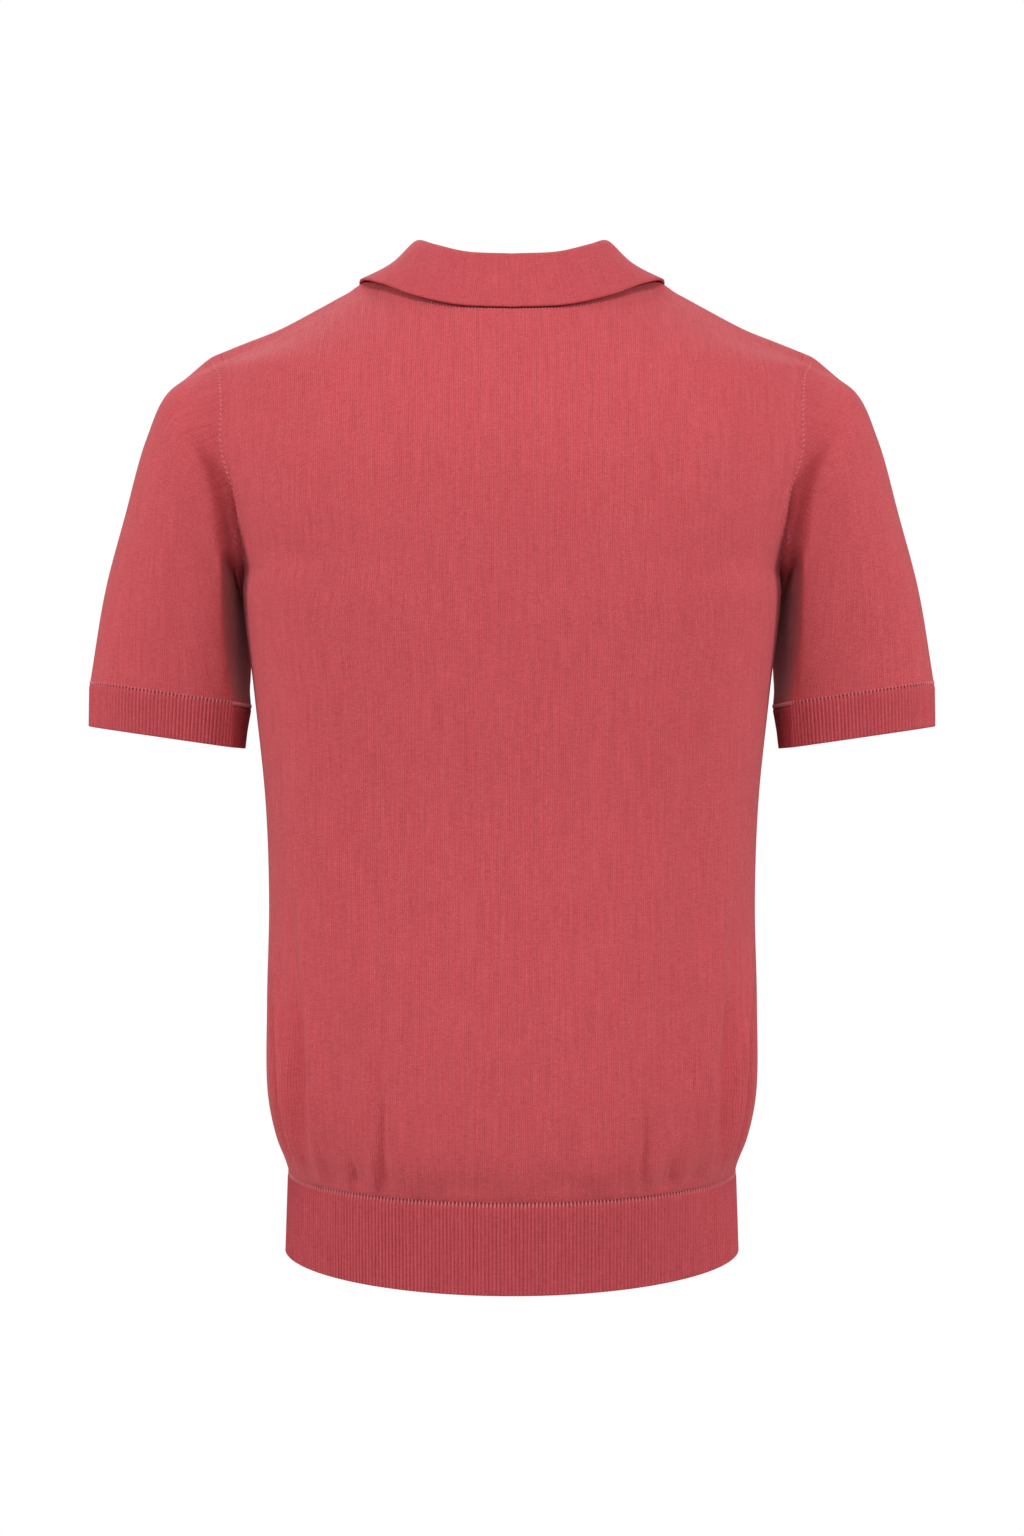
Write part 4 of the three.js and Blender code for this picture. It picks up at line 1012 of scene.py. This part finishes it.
def collar_shell(name):
    sheet = collar_sheet()
    normals = sheet_normals(sheet)
    # The strip's first face looks away from the neck, and after the roll the same face lies underneath.
    top = sheet + normals * COLLAR_WALL
    reach = climbed(top)
    from_edge = reach[-1] - reach
    bead = 0.25 * np.exp(-(((from_edge - 1.0) / 0.8) ** 2)) - 0.3 * np.exp(-(((from_edge - 2.6) / 0.7) ** 2))
    top += normals * bead[..., None]
    middle = len(COLLAR_STOPS) * 2 // 3
    steps = np.linalg.norm(np.diff(top[middle], axis=0), axis=-1)
    u = np.concatenate([[0], np.cumsum(steps)])
    u = np.repeat((u - u[-1] / 2)[None], len(top), axis=0)
    return shell(name, sheet, top, u, reach, bulge=0.5)


# What lies on the front
ABOUT_HALF_ACROSS = 240  # from a panel's middle to its side, roughly, as a first guess
LINKED_EDGE = {"bead": 0.25, "bead_at": 1.1, "groove": 0.35, "groove_at": 2.9, "width": 0.8}


def on_panel(cloth, x, z):
    """The shares and rows of the places on a panel that lie at x and height z."""
    x, z = (np.asarray(a, float).ravel() for a in np.broadcast_arrays(x, z))
    share = x / ABOUT_HALF_ACROSS
    for _ in range(6):
        low, high = np.zeros(len(x)), np.full(len(x), float(TOP_ROW))
        for _ in range(26):
            row = (low + high) / 2
            below = cloth.surface(share, row[None])[0, :, 2] < z
            low, high = np.where(below, row, low), np.where(below, high, row)
        here = cloth.surface(share, row[None])[0, :, 0]
        slope = (cloth.surface(share + 0.01, row[None])[0, :, 0] - here) / 0.01
        share = np.clip(share + (x - here) / slope, -0.99, 0.99)
    return share, row


def strip_shell(name, strip, lift, step=2.0):
    """A strip of cloth on the middle of the front, lifted off it."""
    half, top, bottom, thick = (strip[name] for name in ("half", "top", "bottom", "wall"))
    x = np.linspace(-half, half, round(2 * half / step) + 1)
    x = np.concatenate([[-half, -half + EDGE], x[1:-1], [half - EDGE, half]])
    z = np.linspace(bottom, top, round((top - bottom) / step) + 1)
    z = np.concatenate([[bottom, bottom + EDGE], z[1:-1], [top - EDGE, top]])
    xs, zs = np.meshgrid(x, z)
    points, normals = front.at(*on_panel(front, xs, zs))
    points, normals = points.reshape(*xs.shape, 3), normals.reshape(*xs.shape, 3)
    rim = np.minimum(half - np.abs(xs), np.minimum(zs - bottom, top - zs))
    # The linked edge is a low bead with a groove inside it.
    bead, bead_at, groove, groove_at, width = LINKED_EDGE.values()
    height = thick + bead * np.exp(-(((rim - bead_at) / width) ** 2))
    height -= groove * np.exp(-(((rim - groove_at) / width) ** 2))
    outer = points + normals * (lift + height)[..., None]
    inner = points + normals * lift
    return shell(name, outer, inner, xs, zs, bulge=0.3)


# Stitches: length, width and height
BAND_STITCH = (4.4, 1.25, 0.62)
CUFF_STITCH = (3.4, 1.2, 0.6)
SLEEVE_STITCH = (3.3, 1.15, 0.55)
BODY_STITCH = (2.8, 1.0, 0.5)
NECK_STITCH = (1.7, 0.9, 0.35)
SUNK = 0.1  # how far the joining loops lie in the seam
MARK_LIFT = 0.1


def tick_mesh(name, places, along, out, length, width, height, sides=6, rings=4):
    """Many small rounded stitches in one mesh, each lying on the cloth at a place."""
    along = unit(along - out * (along * out).sum(-1, keepdims=True))
    across = np.cross(along, out)
    points, faces = [], []
    turn = np.arange(sides) / sides * 2 * math.pi
    lats = np.linspace(-1, 1, rings + 1)
    for lat in lats:
        radius = math.sqrt(max(1 - abs(lat) ** 3, 0.02))
        for a in turn:
            points.append((lat * length / 2, math.cos(a) * radius * width / 2, math.sin(a) * radius * height))
    for r in range(rings):
        for s in range(sides):
            n = (s + 1) % sides
            faces.append((r * sides + s, (r + 1) * sides + s, (r + 1) * sides + n, r * sides + n))
    for r, flip in ((0, 1), (rings, -1)):
        ring = [r * sides + s for s in range(sides)][::flip]
        for i in range(1, sides - 2, 2):
            faces.append((ring[0], ring[i], ring[i + 1], ring[i + 2]))
    points, faces = np.array(points), np.array(faces)
    placed = (
        places[:, None]
        + along[:, None] * points[None, :, :1]
        + across[:, None] * points[None, :, 1:2]
        + out[:, None] * points[None, :, 2:]
    )
    numbered = faces[None] + (np.arange(len(places)) * len(points))[:, None, None]
    return add_mesh(name, placed.reshape(-1, 3), numbered.reshape(-1, 4))


def band_ticks(name, facing):
    """The loops that join the body to the waistband, one to each rib."""
    top, hem = band_rows(facing)
    ribs = round(hem.total / RIB_PITCH)
    f = (np.arange(ribs) + 0.5) / ribs
    here, below = top.at(f), top.at(f) + unit(hem.at(f) - top.at(f))
    along = top.at(np.minimum(f + 0.002, 1)) - top.at(np.maximum(f - 0.002, 0))
    out = unit(np.cross(np.array([0.0, 0, 1]), along) * facing)
    down = below - here
    return tick_mesh(name, here - out * SUNK + down * 0.6, down, out, *BAND_STITCH)


def cuff_ticks(name, side):
    top, hem = sleeve_ring(SLEEVE[-1], side), sleeve_ring(CUFF_HEM, side)
    ribs = round(hem.total / RIB_PITCH)
    f = (np.arange(ribs) + 0.5) / ribs
    here = top.at(f)
    down = unit(hem.at(f) - here)
    ring = top.at((f + 0.004) % 1) - top.at((f + 0.996) % 1)
    out = unit(np.cross(ring, down) * side)
    return tick_mesh(name, here - out * SUNK + down * 0.5, down, out, *CUFF_STITCH)


MARK_PITCH = 3.7
SLEEVE_MARKS = {"away": 6.5, "from": 58, "to": 16}  # from the seam, the underarm and the shoulder's tip


def sleeve_marks(name, cloth):
    """The slanted stitches beside the armhole seam, where the sleeve was narrowed in the knitting."""
    along = np.linspace(0, 0.3, 31)
    sheet = cloth.surface(along)
    normal = cloth.normal_of(cloth.surface, along)
    away = climbed(sheet)
    place = np.array([np.interp(SLEEVE_MARKS["away"], away[:, k], along) for k in range(sheet.shape[1])])
    row = np.interp(place, along, np.arange(len(along)))
    low = np.minimum(row.astype(int), len(along) - 2)
    part, column = (row - low)[:, None], np.arange(sheet.shape[1])
    line = mix(sheet[low, column], sheet[low + 1, column], part)
    out = mix(normal[low, column], normal[low + 1, column], part)
    outward = sheet[low + 1, column] - sheet[low, column]
    reach = np.concatenate([[0], np.cumsum(np.linalg.norm(np.diff(line, axis=0), axis=1))])
    tip = reach[np.argmax(line[:, 2])]
    up = np.arange(SLEEVE_MARKS["from"], tip - SLEEVE_MARKS["to"], MARK_PITCH)
    down = np.arange(tip + SLEEVE_MARKS["to"], reach[-1] - SLEEVE_MARKS["from"], MARK_PITCH)
    stops = np.concatenate([up, down])
    at, out, outward, run = (
        np.stack([np.interp(stops, reach, v[:, i]) for i in range(3)], axis=-1)
        for v in (line, out, outward, np.gradient(line, axis=0))
    )
    out = unit(out)
    rising = np.where(stops < tip, 1, -1)[:, None]
    slanted = unit(run) * rising + unit(outward) * 0.75
    return tick_mesh(name, at + out * MARK_LIFT, slanted, out, *SLEEVE_STITCH)


BODY_MARK_ROWS = (0.75, 2.6, 0.24)  # first, last and step, above the armpit's row
BODY_MARK_SHARE = 0.975  # of the way from the panel's middle to its side


def body_marks(name, cloth):
    """The same stitches on the body, low beside the armhole."""
    rows = np.arange(*BODY_MARK_ROWS) + ARMPIT_ROW
    places, normals, ups, outs = [], [], [], []
    for side in (1, -1):
        near = np.full(len(rows), side * BODY_MARK_SHARE)
        point, normal = cloth.at(near, rows)
        places.append(point)
        normals.append(normal)
        ups.append(cloth.at(near, rows + 0.05)[0] - point)
        outs.append(cloth.at(near + side * 0.005, rows)[0] - point)
    place, normal, up, out = (np.concatenate(v) for v in (places, normals, ups, outs))
    return tick_mesh(name, place + normal * MARK_LIFT, unit(up) - unit(out) * 0.7, normal, *BODY_STITCH)


NECK_LOOPS = {"half": 62, "pitch": 2.1, "z": -28.6, "bend": 0.0022}


def neck_ticks(name):
    """The row of joining loops that shows just below the collar at the back."""
    half, pitch, z, bend = NECK_LOOPS.values()
    x = np.arange(-half, half + 0.1, pitch)
    height = z + bend * x * x
    points, normals = back.at(*on_panel(back, x, height))
    down = back.at(*on_panel(back, x, height - 1))[0] - points
    return tick_mesh(name, points + normals * 0.05, down, normals, *NECK_STITCH)


# Buttons
def button_mesh():
    """A round button with a raised rim, a dished face and four holes, lying on its back at the origin."""
    radius, thick, dish = BUTTON["radius"], BUTTON["thick"], BUTTON["dish"]
    profile = [
        (0, 0),
        (radius * 0.84, 0),
        (radius * 0.95, thick * 0.14),
        (radius, thick * 0.45),
        (radius * 0.97, thick * 0.8),
        (radius * 0.9, thick * 0.98),
        (radius * 0.84, thick),
        (radius * 0.77, thick * 0.96),
        (radius * 0.7, thick - dish),
        (radius * 0.35, thick - dish * 1.15),
        (0, thick - dish * 1.15),
    ]
    sides = 56
    turn = np.arange(sides) / sides * 2 * math.pi
    points = [(0, 0, 0)]
    for r, z in profile[1:-1]:
        points += [(r * math.cos(a), r * math.sin(a), z) for a in turn]
    points.append((0, 0, profile[-1][1]))
    faces = []
    rings = len(profile) - 2
    for s in range(sides):
        n = (s + 1) % sides
        faces.append((0, 1 + n, 1 + s))
        for r in range(rings - 1):
            a, b = 1 + r * sides, 1 + (r + 1) * sides
            faces.append((a + s, a + n, b + n, b + s))
        top = 1 + (rings - 1) * sides
        faces.append((top + s, top + n, len(points) - 1))
    mesh = bpy.data.meshes.new("button_shape")
    mesh.from_pydata([[c * MM for c in p] for p in points], [], faces)
    body = bpy.data.objects.new("button_shape", mesh)
    bpy.context.scene.collection.objects.link(body)
    hole = bpy.data.meshes.new("button_drill")
    drill_points, drill_faces = [], []
    drill_sides = 20
    for q in range(4):
        cx, cy = (BUTTON_HOLE["spread"] * f((q + 0.5) * math.pi / 2) for f in (math.cos, math.sin))
        base = len(drill_points)
        for z in (-1, thick + 1):
            for s in range(drill_sides):
                a = s / drill_sides * 2 * math.pi
                r = BUTTON_HOLE["radius"]
                drill_points.append((cx + r * math.cos(a), cy + r * math.sin(a), z))
        for s in range(drill_sides):
            n = (s + 1) % drill_sides
            drill_faces.append((base + s, base + n, base + drill_sides + n, base + drill_sides + s))
        drill_faces.append([base + s for s in reversed(range(drill_sides))])
        drill_faces.append([base + drill_sides + s for s in range(drill_sides)])
    hole.from_pydata([[c * MM for c in p] for p in drill_points], [], drill_faces)
    drill = bpy.data.objects.new("button_drill", hole)
    bpy.context.scene.collection.objects.link(drill)
    cut = body.modifiers.new("holes", "BOOLEAN")
    cut.operation, cut.solver, cut.object = "DIFFERENCE", "EXACT", drill
    graph = bpy.context.evaluated_depsgraph_get()
    made = bpy.data.meshes.new_from_object(body.evaluated_get(graph))
    for o in (body, drill):
        bpy.data.objects.remove(o)
    made.name = "button"
    return made


def tube(line, radius, sides=8):
    """A round thread along a line of points, in millimetres."""
    line = np.array(line, float)
    run = unit(np.gradient(line, axis=0))
    start = np.array([0.3, 0.5, 0.8])
    side = unit(np.cross(run, start))
    other = np.cross(run, side)
    turn = np.arange(sides) / sides * 2 * math.pi
    ring = side[:, None] * np.cos(turn)[:, None] + other[:, None] * np.sin(turn)[:, None]
    points = (line[:, None] + ring * radius).reshape(-1, 3)
    n = len(line)
    number = np.arange(n * sides).reshape(n, sides)
    looped = np.concatenate([number, number[:, :1]], axis=1)
    faces = np.stack([looped[:-1, :-1], looped[:-1, 1:], looped[1:, 1:], looped[1:, :-1]], axis=-1)
    return points, faces.reshape(-1, 4)


def joined_tubes(name, lines, radius):
    points, faces, base = [], [], 0
    for line in lines:
        p, f = tube(line, radius)
        points.append(p)
        faces.append(f + base)
        base += len(p)
    return add_mesh(name, np.concatenate(points), np.concatenate(faces))


def button_threads():
    """Two parallel stitches through each pair of holes."""
    s = BUTTON_HOLE["spread"] * math.sqrt(0.5)
    top = BUTTON["thick"] - BUTTON["dish"]
    lines = []
    for x in (-s, s):
        for shift in (-0.22, 0.22):
            f = np.linspace(0, 1, 13)
            y = mix(-s, s, f)
            z = top + 0.45 * np.sin(math.pi * f) ** 0.5 - 0.9 * (np.abs(2 * f - 1) ** 8)
            lines.append(np.stack([np.full(13, x + shift), y, z], axis=-1))
    return lines


def buttonhole_line():
    """The oval of stitches round a buttonhole, upright on the placket."""
    a = np.linspace(0, 2 * math.pi, 41)
    upright = np.sign(np.sin(a)) * np.abs(np.sin(a)) ** 0.8
    return np.stack([BUTTONHOLE["half"] * np.cos(a), BUTTONHOLE["reach"] * upright, 0 * a], axis=-1)


# Materials
class Graph:
    """A material's nodes, written as sums."""

    def __init__(self, name):
        self.material = bpy.data.materials.new(name)
        self.material.use_nodes = True
        self.tree = self.material.node_tree
        self.shader = self.tree.nodes["Principled BSDF"]

    def put(self, socket, value):
        if isinstance(value, bpy.types.NodeSocket):
            self.tree.links.new(value, socket)
        else:
            socket.default_value = value

    def node(self, kind, out=0, settings=(), **inputs):
        made = self.tree.nodes.new(kind)
        for name, value in dict(settings).items():
            setattr(made, name, value)
        for name, value in inputs.items():
            self.put(made.inputs[name.replace("_", " ")], value)
        return made.outputs[out]

    def sum(self, operation, *values, clamp=False):
        made = self.tree.nodes.new("ShaderNodeMath")
        made.operation, made.use_clamp = operation, clamp
        for socket, value in zip(made.inputs, values):
            self.put(socket, value)
        return made.outputs[0]

    def noise(self, vector, scale, detail=2.0, rough=0.5):
        return self.node(
            "ShaderNodeTexNoise",
            settings={"noise_dimensions": "3D"},
            Vector=vector,
            Scale=scale,
            Detail=detail,
            Roughness=rough,
        )

    def cloth_place(self):
        """The stitches' coordinates across and along the cloth, in metres."""
        uv = self.node("ShaderNodeUVMap", settings={"uv_map": "Knit"})
        split = self.tree.nodes.new("ShaderNodeSeparateXYZ")
        self.put(split.inputs[0], uv)
        return split.outputs[0], split.outputs[1]

    def vector(self, x, y, z=0.0):
        return self.node("ShaderNodeCombineXYZ", X=x, Y=y, Z=z)

    def range(self, value, low, high, to_low=0.0, to_high=1.0):
        return self.node(
            "ShaderNodeMapRange",
            settings={"clamp": True},
            Value=value,
            From_Min=low,
            From_Max=high,
            To_Min=to_low,
            To_Max=to_high,
        )

    def blend(self, factor, a, b, way="MIX"):
        made = self.tree.nodes.new("ShaderNodeMix")
        made.data_type, made.blend_type = "RGBA", way
        for socket, value in zip((made.inputs["Factor"], made.inputs[6], made.inputs[7]), (factor, a, b)):
            self.put(socket, value)
        return made.outputs[2]


def tone(colour, times=1.0):
    return (*(c * times for c in colour), 1.0)


def knit(name, colour, wale, course, streak_and_relief_shade, depth, sheen):
    """Knitted cotton: columns of stitches with painted shade in the grooves between them and a painted
    highlight on their crests, uneven from column to column, with a fine heather and a soft nap."""
    g = Graph(name)
    u, v = g.cloth_place()
    place = g.node("ShaderNodeTexCoord", out=3)
    wave = g.sum("MULTIPLY", u, 1 / (wale * MM))
    part = g.sum("FRACT", wave)
    leg = g.sum("ABSOLUTE", g.sum("MULTIPLY_ADD", part, 2.0, -1.0))
    groove = g.sum("POWER", leg, 6.0)
    climb = g.sum("MULTIPLY_ADD", v, 1 / (course * MM), g.sum("MULTIPLY", leg, -0.55))
    loop = g.sum("SINE", g.sum("MULTIPLY", climb, 2 * math.pi))
    stitch = g.sum("MULTIPLY_ADD", loop, 0.22, g.sum("SUBTRACT", 0.8, groove))
    fine = g.noise(g.vector(g.sum("MULTIPLY", u, 900.0), g.sum("MULTIPLY", v, 30.0)), 1.0, 1.0)
    streaks = g.noise(g.vector(g.sum("MULTIPLY", u, 330.0), g.sum("MULTIPLY", v, 9.0)), 1.0, 1.0)
    broad = g.noise(g.vector(g.sum("MULTIPLY", u, 90.0), g.sum("MULTIPLY", v, 6.0), 3.7), 1.0, 1.0)
    heather = g.noise(place, 1100.0, 1.0)
    rows = g.noise(g.vector(g.sum("MULTIPLY", u, 160.0), g.sum("MULTIPLY", v, 900.0), 8.1), 1.0, 1.0)
    mottle = g.noise(place, 95.0, 3.0, 0.6)
    # The stitch relief is painted into the colour as well: painted shade in the grooves and between loops,
    # painted highlight on the crests. The noises below add the cloth's own uneven tone.
    shade = g.sum("MULTIPLY_ADD", g.sum("SUBTRACT", stitch, 0.66), streak_and_relief_shade, 1.0)
    for source, share in (
        (fine, streak_and_relief_shade * 1.3),
        (streaks, streak_and_relief_shade * 0.45),
        (broad, streak_and_relief_shade * 0.12),
        (rows, streak_and_relief_shade * 1.1),
        (heather, 0.6),
        (mottle, 0.13),
    ):
        shade = g.sum("MULTIPLY_ADD", g.sum("SUBTRACT", source, 0.5), share, shade)
    # The darker end holds the grooves' painted shade and the lighter end the crests' painted highlight,
    # together with the darker and lighter heather.
    deep = tone((colour[0] * 0.62, colour[1] * 0.42, colour[2] * 0.44))
    light = tone((min(colour[0] * 1.3, 1), colour[1] * 1.7, colour[2] * 1.65))
    low = g.blend(g.range(shade, 0.55, 1.0), deep, tone(colour))
    g.put(g.shader.inputs["Base Color"], g.blend(g.range(shade, 1.0, 1.45), low, light))
    g.put(g.shader.inputs["Roughness"], g.range(heather, 0.3, 0.7, 0.82, 0.96))
    g.shader.inputs["Specular IOR Level"].default_value = 0.2
    g.shader.inputs["Sheen Weight"].default_value = sheen
    g.shader.inputs["Sheen Roughness"].default_value = 0.4
    g.shader.inputs["Sheen Tint"].default_value = (1.0, 0.62, 0.66, 1.0)
    fuzz = g.noise(place, 1500.0, 2.0)
    height = g.sum("MULTIPLY_ADD", fuzz, 0.25, stitch)
    first = g.node("ShaderNodeBump", Strength=0.55, Distance=depth * MM, Height=height)
    slow = g.noise(place, 38.0, 2.0)
    second = g.node("ShaderNodeBump", Strength=0.3, Distance=1.2 * MM, Height=slow, Normal=first)
    g.put(g.shader.inputs["Normal"], second)
    return g.material


def stitch_material(name, colour):
    """Yarn of the joining stitches, lighter where it catches the light."""
    g = Graph(name)
    place = g.node("ShaderNodeTexCoord", out=3)
    twist = g.noise(place, 2200.0, 2.0)
    tint = g.blend(g.range(twist, 0.35, 0.7), tone(colour, 0.8), tone(colour, 1.2))
    g.put(g.shader.inputs["Base Color"], tint)
    g.shader.inputs["Roughness"].default_value = 0.85
    g.shader.inputs["Sheen Weight"].default_value = 0.3
    g.put(g.shader.inputs["Normal"], g.node("ShaderNodeBump", Strength=0.4, Distance=0.2 * MM, Height=twist))
    return g.material


def button_material(name, colour):
    """Dyed resin, faintly clouded, satin."""
    g = Graph(name)
    place = g.node("ShaderNodeTexCoord", out=3)
    cloud = g.noise(place, 260.0, 3.0, 0.6)
    tint = g.blend(g.range(cloud, 0.35, 0.7), tone(colour, 0.8), tone(colour, 1.35))
    g.put(g.shader.inputs["Base Color"], tint)
    g.put(g.shader.inputs["Roughness"], g.range(g.noise(place, 900.0), 0.3, 0.7, 0.24, 0.36))
    g.put(g.shader.inputs["Normal"], g.node("ShaderNodeBump", Strength=0.08, Distance=0.2 * MM, Height=cloud))
    return g.material


RED = (0.52, 0.073, 0.085)
RED_DEEP = (0.47, 0.063, 0.077)
jersey = knit("jersey_knit", RED, WALE, COURSE, 0.26, 0.4, 0.16)
collar_knit = knit("collar_knit", (0.50, 0.068, 0.081), 1.2, 0.95, 0.2, 0.35, 0.14)
rib_knit = knit("rib_knit", RED_DEEP, RIB_PITCH, 1.1, 0.3, 0.4, 0.14)
# The joining stitches are coloured paler and lighter than the cloth's red, a painted highlight on the raised
# loops.
yarn_painted_highlight = stitch_material("yarn_painted_highlight", (0.58, 0.125, 0.145))
thread = stitch_material("button_thread", (0.36, 0.05, 0.06))
resin = button_material("button_resin", (0.27, 0.045, 0.055))


def finish_piece(piece, node, slot, material, flat=None, rests_on=(), with_pieces=()):
    piece.data.materials.clear()
    piece.data.materials.append(material)
    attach(piece, "root")
    if node:
        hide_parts(node)
    if flat:
        laid = {"rests_on": list(rests_on), "with_pieces": list(with_pieces)}
    return piece


def trim(piece, slot, material):
    return finish_piece(piece, None, slot, material)


back_piece = panel_shell("cloth_back", back, front)
front_piece = panel_shell("cloth_front", front, back, True)
neck_row = trim(neck_ticks("neck_stitches"), "jersey", yarn_painted_highlight)
back_marks = trim(body_marks("body_marks_back", back), "jersey", yarn_painted_highlight)
front_marks = trim(body_marks("body_marks_front", front), "jersey", yarn_painted_highlight)
marks = [neck_row, back_marks]
finish_piece(back_piece, "back_panel", "jersey", jersey, (0.47, 0.625), ["cloth_front"], marks)
marks = [front_marks]
finish_piece(front_piece, "front_panel", "jersey", jersey, (0.47, 0.61), ["cloth_back"], marks)
both = ["cloth_back", "cloth_front"]
for name, side in (("left", 1), ("right", -1)):
    sleeve = Sleeve(side)
    marks = [trim(sleeve_marks("fashioning_marks_" + name, sleeve), "jersey", yarn_painted_highlight)]
    piece = sleeve.shell("cloth_sleeve_" + name)
    finish_piece(piece, "sleeve_" + name, "jersey", jersey, (0.42, 0.26), both, marks)
    ticks = [trim(cuff_ticks("cuff_stitches_" + name, side), "rib", yarn_painted_highlight)]
    piece, sewn_to = cuff_shell("cloth_cuff_" + name, side), ["cloth_sleeve_" + name]
    finish_piece(piece, "cuff_" + name, "rib", rib_knit, (0.31, 0.03), sewn_to, ticks)
for name, facing in (("back", 1), ("front", -1)):
    ticks = [trim(band_ticks("waistband_stitches_" + name, facing), "rib", yarn_painted_highlight)]
    piece, sewn_to = band_shell("cloth_waistband_" + name, facing), ["cloth_" + name]
    finish_piece(piece, "waistband_" + name, "rib", rib_knit, (0.425, 0.06), sewn_to, ticks)
piece = collar_shell("cloth_collar")
finish_piece(piece, "collar", "collar_knit", collar_knit, (0.48, 0.075), both)
piece, under = strip_shell("cloth_placket", PLACKET, PLACKET_LIFT), ["cloth_front"]
finish_piece(piece, "placket", "collar_knit", collar_knit, (0.032, 0.165), under)
behind_front = -JERSEY - SEAM_GAP - PLACKET_LIFT - UNDER_PLACKET["wall"] - 0.4
piece = strip_shell("cloth_placket_under", UNDER_PLACKET, behind_front)
finish_piece(piece, "placket_under", "collar_knit", collar_knit, (0.026, 0.158), under)

shape = button_mesh()
for i, height in enumerate(BUTTON_HEIGHTS, 1):
    share, row = on_panel(front, 0.0, height)
    (place,), (normal,) = front.at(share, row)
    place = place + normal * (PLACKET_LIFT + PLACKET["wall"] + BUTTON_CLEARANCE)
    turn = Vector((0, 0, 1)).rotation_difference(Vector(normal)).to_matrix()
    whole = Matrix.Translation(Vector(place) * MM) @ turn.to_4x4()
    button = bpy.data.objects.new(f"resin_button_{i}", shape.copy())
    bpy.context.scene.collection.objects.link(button)
    button.data.transform(whole)
    finish_piece(button, f"button_{i}", "button", resin)
    sewn = joined_tubes(f"button_thread_{i}", button_threads(), SEWING_THREAD)
    sewn.data.transform(whole)
    finish_piece(sewn, None, "button", thread)
    holes = joined_tubes(f"buttonhole_{i}", [buttonhole_line()], BUTTONHOLE["thread"])
    holes.data.transform(Matrix.Translation(Vector(normal) * -BUTTONHOLE["sunk"] * MM) @ whole)
    finish_piece(holes, None, "collar_knit", yarn_painted_highlight)

# Camera, at the photograph's angle
CAMERA = {"place": (0, 1.6, -0.33), "lens": 54.35, "sensor": 36}
camera_data = bpy.data.cameras.new("camera")
camera_data.sensor_width = CAMERA["sensor"]
camera_data.lens = CAMERA["lens"]
camera = bpy.data.objects.new("camera", camera_data)
camera.location = CAMERA["place"]
camera.rotation_euler = (math.pi / 2, 0, math.pi)
bpy.context.scene.collection.objects.link(camera)
bpy.context.scene.camera = camera


# Studio
LIGHTS = table(
    "name place size power",
    ("above_back", (0, 2.1, 1.6), 1.4, 39),
    ("back_left", (2.1, 1.0, 0.4), 1.0, 31),
    ("back_right", (-2.1, 1.0, 0.4), 1.0, 31),
    ("above_front", (0.3, -1.9, 1.7), 1.6, 40),
)
LIGHTS_AIM = (0, 0, -0.3)
ROOM_LIGHT = 0.25  # what the pale room around gives
FLOOR = {"radius": 1.5, "z": -1.45, "sides": 96}


def area_light(name, place, size, power):
    data = bpy.data.lights.new(name, "AREA")
    data.shape, data.size, data.energy = "DISK", size, power
    light = bpy.data.objects.new(name, data)
    light.location = place
    light.rotation_euler = (Vector(LIGHTS_AIM) - Vector(place)).to_track_quat("-Z", "Y").to_euler()
    bpy.context.scene.collection.objects.link(light)


for lamp in LIGHTS:
    area_light(**lamp)

world = bpy.data.worlds.new("studio")
world.use_nodes = True
nodes, links = world.node_tree.nodes, world.node_tree.links
seen = nodes["Background"]
seen.inputs["Color"].default_value = (1, 1, 1, 1)
seen.inputs["Strength"].default_value = 1.0
lit = nodes.new("ShaderNodeBackground")
lit.inputs["Color"].default_value = (1, 0.985, 0.975, 1)
lit.inputs["Strength"].default_value = ROOM_LIGHT
ray = nodes.new("ShaderNodeLightPath")
choose = nodes.new("ShaderNodeMixShader")
links.new(ray.outputs["Is Camera Ray"], choose.inputs[0])
links.new(lit.outputs[0], choose.inputs[1])
links.new(seen.outputs[0], choose.inputs[2])
links.new(choose.outputs[0], nodes["World Output"].inputs[0])
bpy.context.scene.world = world

turn = np.arange(FLOOR["sides"]) / FLOOR["sides"] * 2 * math.pi
floor_mesh = bpy.data.meshes.new("floor")
rim = [(FLOOR["radius"] * math.cos(a), FLOOR["radius"] * math.sin(a), FLOOR["z"]) for a in turn]
floor_mesh.from_pydata(rim, [], [list(range(FLOOR["sides"]))])
floor = bpy.data.objects.new("floor", floor_mesh)
bpy.context.scene.collection.objects.link(floor)
plain = Graph("floor_paint")
paint = plain.noise(plain.node("ShaderNodeTexCoord", out=3), 3.0)
plain.put(plain.shader.inputs["Base Color"], plain.blend(paint, (0.86, 0.86, 0.86, 1), (0.92, 0.92, 0.92, 1)))
plain.shader.inputs["Roughness"].default_value = 0.8
floor_mesh.materials.append(plain.material)

scene = bpy.context.scene
scene.view_settings.view_transform = "Standard"
scene.view_settings.look = "None"
